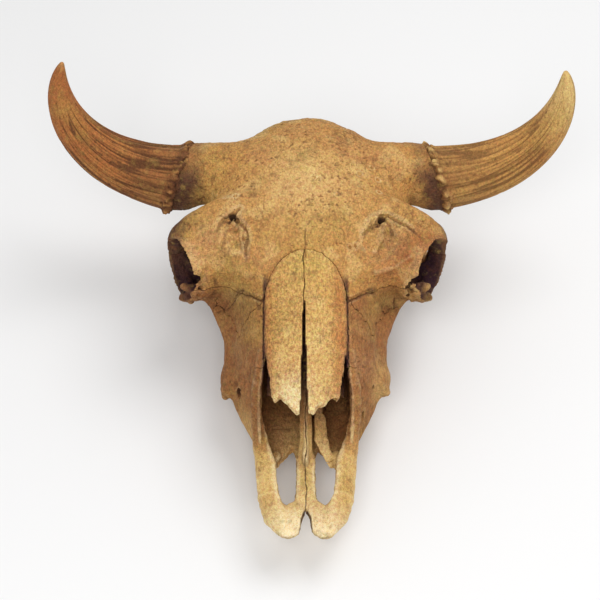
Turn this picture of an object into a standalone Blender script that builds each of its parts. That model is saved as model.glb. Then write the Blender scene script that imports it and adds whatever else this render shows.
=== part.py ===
"""Bison skull: a dry, dug-up skull of an adult bull, life size, as a still museum model.

The bones are shaped as one field of signed distances, meshed at a coarse step, thinned, and then
parted along the sutures with thin cuts. The horn cores are lofts along a bent axis.
The bones' own frame is in millimetres: x to the animal's left, y back from the snout's tip and
z up from the chewing plane of the cheek teeth. The finished model is in metres, lies as the dry
skull rests, on its last molars and the two paroccipital processes, and faces -Y.
"""
import math
from collections import namedtuple

import bmesh
import bpy
import numpy as np
import openvdb
from mathutils import Matrix, Vector

MM = 0.001
GAP = 0.3
STEP = 3.0
BONE_TRIANGLES = 5800

# Rest: the snout is up by this much, and the floor cuts small flats on molars and processes.
# The middle of the resting skull's outline, seen from above, lies at the origin.
PITCH = math.radians(6.0)
FLOOR = -24.2
MIDDLE_X = 5.1
MIDDLE_Y = 269.8

# The face is a little bent to the animal's right: by how much in front, and where it ends.
LEAN = 2.4
LEAN_FROM_Y = 345.0
LEAN_FULL_Y = 265.0

# Nasal bones: the ridge line's front end and slope, half width and the centre of the rear arch.
NASAL_TIP_Y = 100.0
NASAL_TIP_Z = 118.0
NASAL_SLOPE = 0.4663
NASAL_HALF = 46.0
NASAL_ARCH_Y = 230.0
NASAL_THICK = 7.2
NASAL_BEND = 14.0
NASAL_SEAM_X = -2.0

# Orbits: the centre of the left rim, the way it looks, and its radius.
ORBIT = np.array([134.5, 300.0, 153.0])
ORBIT_AXIS = np.array([0.915, -0.40, 0.05]) / np.linalg.norm([0.915, -0.40, 0.05])
ORBIT_RADIUS = 34.5

# Horn cores: the middle of the left burr, the core's radius there and the burr's tilted plane.
HORN_BASE = np.array([150.5, 428.0, 183.0])
HORN_RADIUS = {"left": 37.2, "right": 39.4}
BURR_NORMAL = np.array([1.0, 0.234, 0.26]) / np.linalg.norm([1.0, 0.234, 0.26])
BURR_HEIGHT = 5.5
BURR_WIDTH = 11.0
HORN_SIDES = 24
HORN_RINGS = 17

# Each core: its length, and how steeply its axis rises at the base and at the tip. It bends
# faster and faster along its length, and sweeps back a little.
HORN_LENGTH = {"left": 231.0, "right": 232.0}
HORN_RISE = {"left": (-4.0, 104.0), "right": (-2.6, 112.6)}
HORN_BEND = {"left": 1.37, "right": 1.30}
HORN_TAPER = {"left": (1.35, 0.64), "right": (1.16, 0.67)}
HORN_SWEEP = 0.2

# Cheek teeth, from the first premolar to the last molar: length and breadth.
TEETH_START = 148.0
TEETH = [(15, 14), (19, 17), (20, 20), (26, 25), (30, 27), (33, 26)]
TOOTH_ROOT_Z = 34.0
CHEWING_Z = 4.0

SIDES = (("left", 1), ("right", -1))

FAR = 60.0
REACH = 26.0

Shape = namedtuple("Shape", "low high distance")


def smooth_min(a, b, blend):
    h = np.maximum(blend - np.abs(a - b), 0.0)
    return np.minimum(a, b) - h * h / (4.0 * blend)


def smooth_max(a, b, blend):
    return -smooth_min(-a, -b, blend)


def through(stations, values):
    """A smooth curve through the values at the stations, as a function of the station."""
    at = np.array(stations, float)
    value = np.array(values, float)
    slope = np.gradient(value, at)
    fine = np.linspace(at[0], at[-1], 400)
    i = np.clip(np.searchsorted(at, fine) - 1, 0, len(at) - 2)
    span = at[i + 1] - at[i]
    t = (fine - at[i]) / span
    smooth = (
        value[i] * (1 + 2 * t) * (1 - t) ** 2
        + value[i + 1] * t * t * (3 - 2 * t)
        + span * (slope[i] * t * (1 - t) ** 2 - slope[i + 1] * t * t * (1 - t))
    )
    return lambda y: np.interp(y, fine, smooth).astype(np.float32)


class Field:
    """Signed distance to the bone, in mm, on a grid over the half of the skull with x >= 0."""

    def __init__(self, low, high, step):
        self.step = step
        self.low = np.array(low, float)
        self.axes = [np.arange(a, b + step, step, dtype=np.float32) for a, b in zip(low, high)]
        self.value = np.full([len(axis) for axis in self.axes], FAR, np.float32)

    def block(self, low, high):
        """The part of the grid near a shape, and its three coordinates."""
        cut = []
        grid = []
        for k, axis in enumerate(self.axes):
            first, last = np.searchsorted(axis, [low[k] - REACH, high[k] + REACH])
            cut.append(slice(first, max(last, first + 1)))
            shape = [1, 1, 1]
            shape[k] = -1
            grid.append(axis[cut[-1]].reshape(shape))
        return tuple(cut), grid

    def add(self, shape, blend):
        cut, (x, y, z) = self.block(shape.low, shape.high)
        self.value[cut] = smooth_min(self.value[cut], shape.distance(x, y, z), blend)

    def cut(self, shape, blend):
        cut, (x, y, z) = self.block(shape.low, shape.high)
        self.value[cut] = smooth_max(self.value[cut], -shape.distance(x, y, z), blend)


def ellipsoid(centre, radii, pitch=0.0):
    """An ellipsoid, turned about the x axis by the pitch in degrees."""
    p = math.radians(pitch)
    c = np.array(centre, np.float32)
    r = np.array(radii, np.float32)

    def distance(x, y, z):
        dy = y - c[1]
        dz = z - c[2]
        q = [x - c[0], math.cos(p) * dy + math.sin(p) * dz, math.cos(p) * dz - math.sin(p) * dy]
        k0 = np.sqrt(sum((q[k] / r[k]) ** 2 for k in range(3))) + 1e-6
        k1 = np.sqrt(sum((q[k] / r[k] ** 2) ** 2 for k in range(3))) + 1e-6
        return k0 * (k0 - 1.0) / k1

    reach = np.array([r[0], max(r[1], r[2]), max(r[1], r[2])])
    return Shape(c - reach, c + reach, distance)


def rod(points, radii, flat=None, ratio=1.0):
    """A bar through points with a radius at each, and ratio times as thick along flat."""
    pts = np.array(points, np.float32)
    rad = np.broadcast_to(np.array(radii, np.float32), (len(pts),))
    n = None if flat is None else np.array(flat, np.float32) / np.linalg.norm(flat)

    def distance(x, y, z):
        best = None
        for a, b, ra, rb in zip(pts[:-1], pts[1:], rad[:-1], rad[1:]):
            ab = b - a
            dx, dy, dz = x - a[0], y - a[1], z - a[2]
            t = np.clip((dx * ab[0] + dy * ab[1] + dz * ab[2]) / (ab @ ab), 0, 1)
            qx, qy, qz = dx - t * ab[0], dy - t * ab[1], dz - t * ab[2]
            squared = qx * qx + qy * qy + qz * qz
            if n is not None:
                across = qx * n[0] + qy * n[1] + qz * n[2]
                squared = squared + across * across * (1.0 / ratio**2 - 1.0)
            d = np.sqrt(squared) - (ra + t * (rb - ra))
            if n is not None:
                d = d * (0.5 + 0.5 * ratio)
            best = d if best is None else np.minimum(best, d)
        return best

    return Shape((pts - rad[:, None]).min(0), (pts + rad[:, None]).max(0), distance)


def lean(y):
    """How far the bent face lies to the animal's right at a place, in mm."""
    t = np.clip((LEAN_FROM_Y - y) / (LEAN_FROM_Y - LEAN_FULL_Y), 0, 1)
    return LEAN * t * t * (3 - 2 * t)


def nasal_line(y):
    """Height of the nasal bones' ridge."""
    return NASAL_TIP_Z + NASAL_SLOPE * (y - NASAL_TIP_Y)


def frontal_shield():
    """The forehead: a broad shield, widest over the orbits and waisted in front of the horns."""
    y_at = [262, 280, 300, 318, 333, 346, 358, 370, 385, 402, 430, 458, 480, 498, 513]
    width = through(y_at, [78, 96, 118, 142, 151, 139, 120, 114, 116, 120, 117, 95, 73, 53, 34])
    edge = through(y_at, [168, 172, 178, 181, 180, 179, 177, 176, 175, 174, 172, 170, 168, 167, 166])
    crown = through(y_at, [20, 26, 32, 40, 46, 50, 54, 58, 62, 65, 68, 67, 62, 50, 30])
    depth = through(y_at, [60, 52, 44, 38, 34, 34, 34, 36, 38, 42, 46, 60, 70, 70, 60])
    power = 2.15

    def distance(x, y, z):
        ax = np.abs(x)
        dz = z - edge(y)
        tall = np.where(dz > 0, crown(y), depth(y))
        k = ((ax / width(y)) ** power + (np.abs(dz) / tall) ** power) ** (1 / power) + 1e-4
        d = np.sqrt(ax * ax + dz * dz) * (1 - 1 / k)
        d = smooth_max(d, y_at[0] - y, 14.0)
        return smooth_max(d, y - (y_at[-1] - 2.0), 16.0)

    return Shape((-5, 255, 100), (160, 516, 245), distance)


def face():
    """The deep block of the two upper jaws, under the nasal bones."""
    y_at = [92, 112, 130, 150, 172, 200, 235, 268, 292, 312]
    top_half = through(y_at, [40, 42, 43, 44, 45, 47, 51, 62, 76, 84])
    mid_z = through(y_at, [52, 54, 56, 60, 66, 76, 88, 102, 114, 122])
    mid_half = through(y_at, [50, 55, 62, 72, 81, 87, 88, 94, 100, 95])
    low_z = through(y_at, [34, 30, 27, 25, 24, 23, 23, 24, 27, 36])
    low_half = through(y_at, [34, 40, 46, 54, 60, 65, 67, 67, 64, 56])

    def distance(x, y, z):
        ax = np.abs(x)
        top, mid, low = nasal_line(y) - 2, mid_z(y), low_z(y)
        up = np.clip((z - mid) / (top - mid), 0, 1)
        down = np.clip((mid - z) / (mid - low), 0, 1)
        half = mid_half(y) + (top_half(y) - mid_half(y)) * (0.75 * up + 0.25 * up * up)
        half = half + (low_half(y) - mid_half(y)) * down * down * (3 - 2 * down)
        side = (ax - half) * 0.86
        roof = (z - top + 13 * (ax / NASAL_HALF) ** 2) * 0.9
        d = smooth_max(smooth_max(side, roof, 10), low - z, 9)
        d = smooth_max(d, 96.0 - y, 6)
        return smooth_max(d, y - 306.0, 16)

    return Shape((-5, 90, 15), (110, 312, 220), distance)


def nasal_cavity():
    half_at = through([60, 110, 150, 180, 210, 240, 270], [47, 48, 50, 49, 45, 37, 28])
    floor_at = through([60, 110, 160, 200, 240, 270], [39, 39, 40, 43, 50, 62])

    def distance(x, y, z):
        ax = np.abs(x)
        roof = z - (nasal_line(y) - 11 - 8 * (ax / NASAL_HALF) ** 2)
        d = smooth_max(ax - half_at(y), roof, 10)
        d = smooth_max(d, floor_at(y) - z, 16)
        return smooth_max(d, y - 262.0, 20)

    return Shape((-5, 40, 35), (50, 265, 200), distance)


def aperture_cut():
    """All in front of the edge that runs up from the snout to the side of the nasal bones."""
    low_end = np.array([104.0, 62.0])
    high_end = np.array([164.0, 140.0])
    along = (high_end - low_end) / np.linalg.norm(high_end - low_end)

    def distance(x, y, z):
        plane = (y - low_end[0]) * along[1] - (z - low_end[1]) * along[0]
        bow = 5.0 * np.sin(np.clip((z - low_end[1]) / (high_end[1] - low_end[1]), 0, 1) * np.pi)
        return smooth_max(plane + bow, 57.0 - z, 8) + 0 * x

    return Shape((-5, 60, 55), (80, 180, 190), distance)


def nasal_middle(x, y):
    """Height of the nasal bones' middle layer at a place."""
    return nasal_line(y) - 1.0 - NASAL_BEND * (np.abs(x) / NASAL_HALF) ** 2


def nasal_bones():
    """Both nasal bones as one bent slab, forked at the front; the gap between them is cut later."""
    outer = through([95, 120, 145, 160, 175, 228], [34, 36.5, 39.5, 42.5, 45, 46])
    fork_x = np.array([0, 5, 10, 20, 28, 33, 37, 50], np.float32)
    fork_y = np.array([105, 102, 101, 112, 121.5, 118, 122, 134], np.float32)

    def distance(x, y, z):
        ax = np.abs(x)
        back = np.sqrt(ax**2 + np.maximum(y - NASAL_ARCH_Y, 0) ** 2) - NASAL_HALF
        side = np.where(y > NASAL_ARCH_Y, back, ax - outer(y))
        front = (np.interp(ax, fork_x, fork_y).astype(np.float32) - y) * 0.75
        slab = np.abs(z - nasal_middle(x, y)) * 0.88 - NASAL_THICK / 2
        return smooth_max(smooth_max(slab, side, 5), front, 4)

    return Shape((-1, 95, 85), (50, 280, 210), distance)


def add_cranium(f):
    f.add(frontal_shield(), 4)
    f.add(ellipsoid((0, 420, 140), (82, 88, 74)), 16)
    f.add(ellipsoid((0, 462, 128), (114, 34, 60)), 14)
    f.add(ellipsoid((96, 448, 108), (26, 28, 26)), 12)
    f.add(ellipsoid((0, 490, 172), (50, 21, 30)), 14)
    f.add(rod([(0, 497, 202), (24, 496, 201)], [13, 12]), 12)
    f.add(rod([(84, 426, 181), (118, 427, 185.5), (172, 430, 181.5)], [46, 40.5, 38]), 9)


def add_orbits(f):
    root = ORBIT - 58 * ORBIT_AXIS
    f.add(rod([root, ORBIT - 3 * ORBIT_AXIS], [44, ORBIT_RADIUS + 5]), 16)
    f.add(ellipsoid((144, 326, 175), (12, 14, 11)), 11)
    f.add(ellipsoid((0, 345, 110), (52, 70, 62)), 20)


def cut_fossae(f):
    """The temporal fossa behind each orbit, the hollow under it, and the orbit itself."""
    f.cut(rod([(128, 355, 142), (112, 386, 140), (112, 425, 138), (128, 462, 136)], [25, 29, 25, 17]), 12)
    f.cut(rod([(96, 350, 84), (92, 385, 78)], [38, 30]), 14)
    ball = ORBIT - (1.5, 1, 0)
    eye = [ball + 14 * ORBIT_AXIS, ball - 18 * ORBIT_AXIS, ball - 56 * ORBIT_AXIS]
    f.cut(rod(eye, [ORBIT_RADIUS + 2, ORBIT_RADIUS - 2, 20]), 3)


def add_arches(f):
    arch = [(134, 300, 114), (139, 328, 112), (142, 352, 107), (137, 384, 104), (126, 412, 108), (104, 436, 114)]
    f.add(rod(arch, [12, 11, 10, 10, 11, 14], (1, 0, -0.1), 0.55), 8)
    f.add(rod([(147, 334, 172), (148, 338, 148), (141, 336, 118)], [12, 9, 10], (0.85, 0.5, 0), 0.6), 8)


def palatal_fissures():
    """The long opening on each side behind the snout's tip, round in front and pointed at the rear."""
    y_at = [38, 46, 60, 80, 97, 115, 133]
    middle = through(y_at, [21, 21, 21, 21, 20.5, 17, 13])
    half = through(y_at, [-3, 5.5, 9, 10.5, 10, 6, -2])

    def distance(x, y, z):
        beside = (np.abs(np.abs(x) - middle(y)) - half(y)) * 0.9
        return smooth_max(beside, np.abs(z - 40) - 26, 4)

    return Shape((-1, 40, 16), (34, 132, 64), distance)


def add_snout(f):
    """The two premaxillae: a strip along each side, a plate at the tip, a splint by the middle."""
    strip = [(34.5, 29, 38), (39.5, 50, 42), (43.5, 88, 49), (49.5, 112, 62), (55, 134, 88), (56, 150, 116)]
    f.add(rod(strip, [12, 13, 12.8, 9, 6, 3.5], (0.4, -0.35, 0.8), 0.5), 4)
    f.add(ellipsoid((35, 101, 44), (9, 15, 4.5)), 5)
    f.add(ellipsoid((19.5, 24.5, 36), (19, 24.5, 6.5), pitch=4), 7)
    f.add(rod([(10, 20, 36), (6.8, 44, 39), (6, 70, 41), (6, 106, 44)], [9, 6, 5.6, 6.5], (0, 0, 1), 0.8), 6)
    f.cut(palatal_fissures(), 3)
    f.cut(ellipsoid((0, -2, 36), (6.8, 34, 34)), 2)
    f.add(rod([(0, 40, 37), (0, 70, 40), (0, 104, 44)], [4.5, 5.0, 6.0], (0, 0, 1), 0.8), 3)


def add_vomer(f):
    f.add(rod([(0, 104, 45), (0, 150, 47), (0, 255, 58)], [7, 7, 7]), 4)
    f.add(rod([(0, 110, 48), (0, 160, 78), (0, 240, 110)], [24, 30, 42], (1, 0, 0), 0.2), 3)


def add_underside(f):
    f.add(rod([(0, 500, 72), (0, 440, 66), (0, 380, 66)], [30, 24, 20], (0, 0, 1), 0.7), 12)
    f.add(rod([(0, 380, 66), (0, 340, 72)], [18, 18]), 10)
    f.add(rod([(22, 300, 40), (24, 330, 52), (24, 362, 74)], [17, 16, 14], (1, 0.1, 0), 0.3), 4)
    f.add(ellipsoid((44, 424, 54), (14, 20, 18)), 6)
    f.add(rod([(92, 424, 100), (104, 404, 98)], [17, 15], (0, 0, 1), 0.7), 10)
    f.add(ellipsoid((37, 502, 84), (25, 23, 29), pitch=20), 6)
    f.add(rod([(82, 468, 92), (78, 476, 58), (74, 482, 22)], [24, 16, 9], (0.5, 0.86, 0), 0.7), 8)
    f.cut(rod([(0, 540, 104), (0, 490, 100), (0, 455, 100)], [21, 20, 17]), 4)
    f.cut(rod([(136, 440, 112), (100, 436, 108)], [6, 5]), 2)
    f.cut(ellipsoid((0, 306, 56), (19, 44, 19)), 5)


def tooth_places():
    """Each cheek tooth's middle, length and breadth, from front to back."""
    y = TEETH_START
    for length, breadth in TEETH:
        middle = y + length / 2
        yield middle, float(np.interp(middle, [150, 200, 250, 292], [45, 51, 54, 52])), length, breadth
        y += length + 0.4


def add_teeth(f):
    """Premolars with one lobe and molars with two, sunk into the jaw and worn flat."""
    for middle, x, length, breadth in tooth_places():
        lobes = 2 if length > 21 else 1
        for k in range(lobes):
            y = middle + (k - (lobes - 1) / 2) * length / 2
            reach = length / lobes / 2 + 0.6
            column = rod([(x, y, TOOTH_ROOT_Z), (x, y, -6)], reach, (1, 0, 0), breadth / 2 / reach)

            def worn(gx, gy, gz, column=column):
                return smooth_max(column.distance(gx, gy, gz), CHEWING_Z - gz, 2.0)

            f.add(Shape(column.low, column.high, worn), 1.5)


def bone_field(step):
    f = Field((0, -6, -14), (190, 548, 262), step)
    add_cranium(f)
    f.add(face(), 16)
    f.add(rod([(103, 288, 112), (82, 246, 92), (80, 206, 73)], [9, 8, 9]), 14)
    f.add(ellipsoid((83, 196, 73), (11, 17, 12)), 12)
    add_orbits(f)
    cut_fossae(f)
    add_arches(f)
    f.cut(aperture_cut(), 3)
    f.cut(nasal_cavity(), 3)
    f.add(nasal_bones(), 1.5)
    add_vomer(f)
    f.cut(ellipsoid((0, 222, 17), (38, 92, 14)), 6)
    add_snout(f)
    add_underside(f)
    add_teeth(f)
    return f


def mesh_of(f):
    """The field's surface on both sides of the middle plane, as points in mm and faces."""
    both = np.concatenate([f.value[:0:-1], f.value], axis=0)
    grid = openvdb.FloatGrid(3 * f.step)
    grid.copyFromArray(np.ascontiguousarray(np.clip(both, -3 * f.step, 3 * f.step)))
    points, triangles, quads = grid.convertToPolygons(isovalue=0.0, adaptivity=0.0)
    corner = np.array([-f.axes[0][-1], f.low[1], f.low[2]])
    return points * f.step + corner, triangles.tolist() + quads.tolist()


def collection(name):
    """The collection of this name, made when it is first asked for."""
    if name not in bpy.data.collections:
        bpy.context.scene.collection.children.link(bpy.data.collections.new(name))
    return bpy.data.collections[name]


def new_object(name, mesh, group="bison_skull"):
    obj = bpy.data.objects.new(name, mesh)
    collection(group).objects.link(obj)
    return obj


def new_cutter(mesh):
    cutter = new_object("cutter", mesh, "cutters")
    cutter.hide_render = True
    cutter.display_type = "WIRE"
    return cutter


def cut_away(obj, cutter, operation="DIFFERENCE"):
    """Cuts by a cutter that is used once."""
    combine(obj, cutter, operation)
    bpy.data.objects.remove(cutter)


def evaluated(obj):
    """Replaces an object's mesh by its shape with all modifiers applied."""
    graph = bpy.context.evaluated_depsgraph_get()
    mesh = bpy.data.meshes.new_from_object(obj.evaluated_get(graph))
    obj.modifiers.clear()
    obj.data = mesh
    return obj


def combine(obj, cutter, operation):
    """A Boolean by the MANIFOLD solver, because EXACT drops the whole bone at the thin snout."""
    modifier = obj.modifiers.new("cut", "BOOLEAN")
    modifier.solver = "MANIFOLD"
    modifier.operation = operation
    modifier.object = cutter
    return evaluated(obj)


def coarse_bone():
    """The whole skull without its horn cores, thinned to the triangles that the parts can carry."""
    points, faces = mesh_of(bone_field(STEP))
    mesh = bpy.data.meshes.new("bone")
    mesh.from_pydata((points * MM).tolist(), [], faces)
    bone = new_object("bone", mesh)
    thin = bone.modifiers.new("thin", "DECIMATE")
    thin.ratio = BONE_TRIANGLES / (2 * len(faces))
    return evaluated(bone)


def grown(outline, margin):
    """An outline moved outward by the margin; its points run one way round."""
    points = np.array(outline, float)
    before = points - np.roll(points, 1, axis=0)
    after = np.roll(points, -1, axis=0) - points
    turn = np.sign(np.sum(np.cross(before, after)))

    def normals(edge):
        return turn * np.stack([edge[:, 1], -edge[:, 0]], 1) / np.linalg.norm(edge, axis=1)[:, None]

    both = normals(before) + normals(after)
    return points + margin * 2 * both / np.sum(both * both, axis=1)[:, None]


def region(sections, side=1, margin=0.0):
    """A cutter lofted sideways through outlines in y and z, each at its own x."""
    work = bmesh.new()
    rings = []
    for k, (x, outline) in enumerate(sections):
        x = x + margin * ((k == len(sections) - 1) - (k == 0))
        rings.append([work.verts.new((side * x * MM, y * MM, z * MM)) for y, z in grown(outline, margin)])
    for near, far in zip(rings[:-1], rings[1:]):
        for k in range(len(near)):
            j = (k + 1) % len(near)
            work.faces.new((near[k], near[j], far[j], far[k]))
    work.faces.new(rings[0])
    work.faces.new(rings[-1])
    bmesh.ops.triangulate(work, faces=work.faces)
    bmesh.ops.recalc_face_normals(work, faces=work.faces)
    mesh = bpy.data.meshes.new("region")
    work.to_mesh(mesh)
    work.free()
    return new_cutter(mesh)


def block(low, high):
    """Sections of a plain box, for a cutter."""
    outline = [(low[1], low[2]), (high[1], low[2]), (high[1], high[2]), (low[1], high[2])]
    return [(low[0], outline), (high[0], outline)]


def keep_largest(obj):
    """Leaves only the largest closed surface of a mesh, in triangles."""
    work = bmesh.new()
    work.from_mesh(obj.data)
    left = set(work.faces)
    bodies = []
    while left:
        body = [left.pop()]
        for face_now in body:
            for edge in face_now.edges:
                for other in edge.link_faces:
                    if other in left:
                        left.remove(other)
                        body.append(other)
        bodies.append(body)
    bodies.sort(key=lambda body: sum(f.calc_area() for f in body))
    for body in bodies[:-1]:
        bmesh.ops.delete(work, geom=body, context="FACES")
    bmesh.ops.triangulate(work, faces=work.faces)
    work.to_mesh(obj.data)
    work.free()
    return len(bodies)


def take(rest, name, sections, side=1):
    """Parts the piece of the rest inside a region, and leaves a gap all round it."""
    piece = new_object(name, rest.data.copy())
    cut_away(piece, region(sections, side), "INTERSECT")
    cut_away(rest, region(sections, side, GAP))
    keep_largest(piece)
    return piece


def both_ways(half):
    """Sections for x from 0 outward, with their mirror image before them."""
    return [(-x, outline) for x, outline in half[:0:-1]] + half


def take_pair(rest, name, half, seam=0.0):
    """Parts a left and a right bone that meet in the seam's plane, with a gap between them."""
    whole = take(rest, name, both_ways(half))
    pieces = []
    for side_name, side in SIDES:
        piece = new_object(name + "_" + side_name, whole.data.copy())
        near = GAP / 2 + side * seam
        cut_away(piece, region(block((near, -50, -50), (200, 600, 400)), side), "INTERSECT")
        keep_largest(piece)
        pieces.append(piece)
    bpy.data.objects.remove(whole)
    return pieces


def nasal_region():
    """Under one nasal bone, out to its side and its round rear end."""
    for k in range(9):
        turn = math.radians(90 * k / 8)
        x = NASAL_HALF * math.sin(turn)
        rear = NASAL_ARCH_Y + NASAL_HALF * math.cos(turn)
        drop = 12 + NASAL_BEND * (x / NASAL_HALF) ** 2
        front = 85.0
        outline = [(front, nasal_line(front) - drop), (rear, nasal_line(rear) - drop), (rear, 300), (front, 300)]
        yield x, outline


def part_bone(rest):
    """Every bone but the horn cores, from the front to the back."""
    pieces = []
    wedge = [(90, 80), (91, 80), (91, 230), (90, 230)], [(90, 80), (236, 150), (236, 230), (90, 230)]
    cut_away(rest, region([(NASAL_SEAM_X + x, wedge[k]) for x, k in ((-4.5, 0), (0.0, 1), (4.5, 0))]))
    pieces += take_pair(rest, "nasal", list(nasal_region()), NASAL_SEAM_X)
    snout = [(-20, -20), (101, -20), (101, 48), (120, 62), (142, 86), (158, 116), (148, 132), (-20, 132)]
    pieces += take_pair(rest, "premaxilla", [(0, snout), (80, snout)])
    septum = [(101.8, 44), (160, 45), (200, 48), (238, 55), (238, 200), (101.8, 200)]
    pieces.append(take(rest, "vomer", [(-9, septum), (9, septum)]))
    fronts = [(0, 229, 167), (50, 236, 167), (70, 256, 167), (88, 266, 167), (100, 268, 140), (116, 264, 140), (190, 250, 140)]
    half = [
        (x, [(y, 150), (342, 150), (362, low), (452, low), (500, 196), (530, 240), (530, 300), (y, 300)])
        for x, y, low in fronts
    ]
    pieces.append(take(rest, "frontals", both_ways(half)))
    back = [(450, -20), (450, 70), (462, 110), (472, 150), (478, 240), (560, 240), (560, -20)]
    pieces.append(take(rest, "occipital", [(-190, back), (190, back)]))
    cheek = [(276, 88), (276, 128), (300, 160), (372, 160), (384, 118), (372, 92)]
    tear = [(48, [(232, 116), (232, 240), (310, 240), (310, 116)]), (80, [(222, 116), (222, 240), (310, 240), (310, 116)])]
    tear.append((150, [(240, 116), (240, 240), (310, 240), (310, 116)]))
    for name, side in SIDES:
        pieces.append(take(rest, "zygomatic_" + name, [(101, cheek), (190, cheek)], side))
        pieces.append(take(rest, "lacrimal_" + name, tear, side))
    pieces.append(take(rest, "palatine", block((-36, 268, 10), (36, 374, 78))))
    pieces += take_pair(rest, "maxilla", block((0, 90, -20), (140, 300, 240)))
    rest.name = "braincase"
    keep_largest(rest)
    pieces.append(rest)
    return pieces


def horn_axis(side_name):
    """Points down the middle of a horn core and its direction at each, on the left side."""
    rise_low, rise_high = HORN_RISE[side_name]
    steps = 120
    at = HORN_BASE.copy()
    points = []
    ways = []
    for i in range(steps + 1):
        along = i / steps
        rise = math.radians(rise_low + (rise_high - rise_low) * along ** HORN_BEND[side_name])
        way = np.array([math.cos(rise), HORN_SWEEP * (1 - 0.3 * along), math.sin(rise)])
        way = way / np.linalg.norm(way)
        points.append(at.copy())
        ways.append(way)
        at = at + way * HORN_LENGTH[side_name] / steps
    return np.array(points), np.array(ways)


def horn_core(side_name, side):
    """A curved, grooved cone with a knobbed burr round its base, which lies in a tilted plane."""
    rng = np.random.default_rng(11 if side > 0 else 12)
    points, ways = horn_axis(side_name)
    length = HORN_LENGTH[side_name]
    full = HORN_RADIUS[side_name]
    sharp, blunt = HORN_TAPER[side_name]
    places = np.concatenate([[0.0, 0.02, 0.045, 0.07], np.linspace(0.11, 0.985, HORN_RINGS - 4)])
    knobs = rng.uniform(-1.8, 1.8, HORN_SIDES)
    work = bmesh.new()
    rings = []
    for place in places:
        centre = np.array([np.interp(place, np.linspace(0, 1, len(points)), points[:, k]) for k in range(3)])
        way = np.array([np.interp(place, np.linspace(0, 1, len(ways)), ways[:, k]) for k in range(3)])
        way = way / np.linalg.norm(way)
        across = np.cross(way, [0, 1, 0])
        across = across / np.linalg.norm(across)
        other = np.cross(way, across)
        swell = max(0.0, 1 - place * length / BURR_WIDTH / 1.5)
        ring = []
        for k in range(HORN_SIDES):
            angle = 2 * math.pi * k / HORN_SIDES
            radius = full * (1 - place**sharp) ** blunt + 0.5
            radius = radius + (BURR_HEIGHT + knobs[k]) * swell
            radius = radius + 1.1 * (-1) ** k * (1 - swell) * (1 - place) ** 0.5 * min(radius / 12, 1)
            out = math.cos(angle) * across + math.sin(angle) * other
            tilt = -full * (out @ BURR_NORMAL) / (way @ BURR_NORMAL)
            fade = 0.5 + 0.5 * math.cos(math.pi * min(place / 0.4, 1.0))
            point = centre + radius * out + tilt * (radius / full) * fade * way + GAP * BURR_NORMAL
            ring.append(work.verts.new((side * point[0] * MM, point[1] * MM, point[2] * MM)))
        rings.append(ring)
    tip = points[-1]
    end = work.verts.new((side * tip[0] * MM, tip[1] * MM, tip[2] * MM))
    for near, far in zip(rings[:-1], rings[1:]):
        for k in range(HORN_SIDES):
            j = (k + 1) % HORN_SIDES
            work.faces.new((near[k], near[j], far[j], far[k]))
    for k in range(HORN_SIDES):
        work.faces.new((rings[-1][k], rings[-1][(k + 1) % HORN_SIDES], end))
    work.faces.new(rings[0])
    bmesh.ops.triangulate(work, faces=work.faces)
    bmesh.ops.recalc_face_normals(work, faces=work.faces)
    mesh = bpy.data.meshes.new("horn")
    work.to_mesh(mesh)
    work.free()
    return new_object("horn_core_" + side_name, mesh)


def bend_face(piece):
    """Moves the points of a bone as far to the side as the bent face lies there."""
    for vertex in piece.data.vertices:
        vertex.co.x -= float(lean(vertex.co.y / MM)) * MM


def cube_cutter(matrix):
    """A cube of one metre, placed and turned by a matrix."""
    work = bmesh.new()
    bmesh.ops.create_cube(work, size=1, matrix=matrix)
    mesh = bpy.data.meshes.new("cube")
    work.to_mesh(mesh)
    work.free()
    return new_cutter(mesh)


def cut_by_burr_planes(bone):
    """Ends each pedicle in the plane of its burr."""
    width = 100.0
    for side in (1, -1):
        normal = Vector((side * BURR_NORMAL[0], BURR_NORMAL[1], BURR_NORMAL[2]))
        base = Vector((side * HORN_BASE[0], HORN_BASE[1], HORN_BASE[2]))
        turn = normal.to_track_quat("Z", "Y").to_matrix().to_4x4()
        place = Matrix.Translation((base + width / 2 * normal) * MM)
        cut_away(bone, cube_cutter(place @ turn @ Matrix.Scale(width * MM, 4)))


def cut_by_floor(bone):
    """Makes the small flats on which the last molars and the processes stand."""
    cut_away(bone, cube_cutter(Matrix.Rotation(PITCH, 4, "X") @ Matrix.Translation((0, 0.25, FLOOR * MM - 0.5))))


BONE_COLOURS = {
    "frontals": (0.46, 0.29, 0.12),
    "braincase": (0.36, 0.22, 0.10),
    "occipital": (0.38, 0.23, 0.10),
    "horn_core": (0.36, 0.21, 0.09),
    "nasal": (0.54, 0.37, 0.17),
    "premaxilla": (0.56, 0.38, 0.17),
    "maxilla": (0.42, 0.26, 0.12),
    "lacrimal": (0.41, 0.25, 0.11),
    "zygomatic": (0.37, 0.22, 0.10),
    "palatine": (0.34, 0.21, 0.10),
    "vomer": (0.40, 0.25, 0.12),
}


def bone_material(name, colour):
    material = bpy.data.materials.new(name + "_bone")
    material.use_nodes = True
    shader = material.node_tree.nodes["Principled BSDF"]
    shader.inputs["Base Color"].default_value = (*colour, 1.0)
    shader.inputs["Roughness"].default_value = 0.75
    shader.inputs["Metallic"].default_value = 0.0
    return material


def resting_place():
    """The empty that carries every bone, pitched and set down as the skull rests."""
    empty = bpy.data.objects.new("resting_place", None)
    collection("bison_skull").objects.link(empty)
    empty.rotation_euler = (-PITCH, 0.0, 0.0)
    empty.location = (-MIDDLE_X * MM, -MIDDLE_Y * MM, -FLOOR * MM)
    return empty


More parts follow.
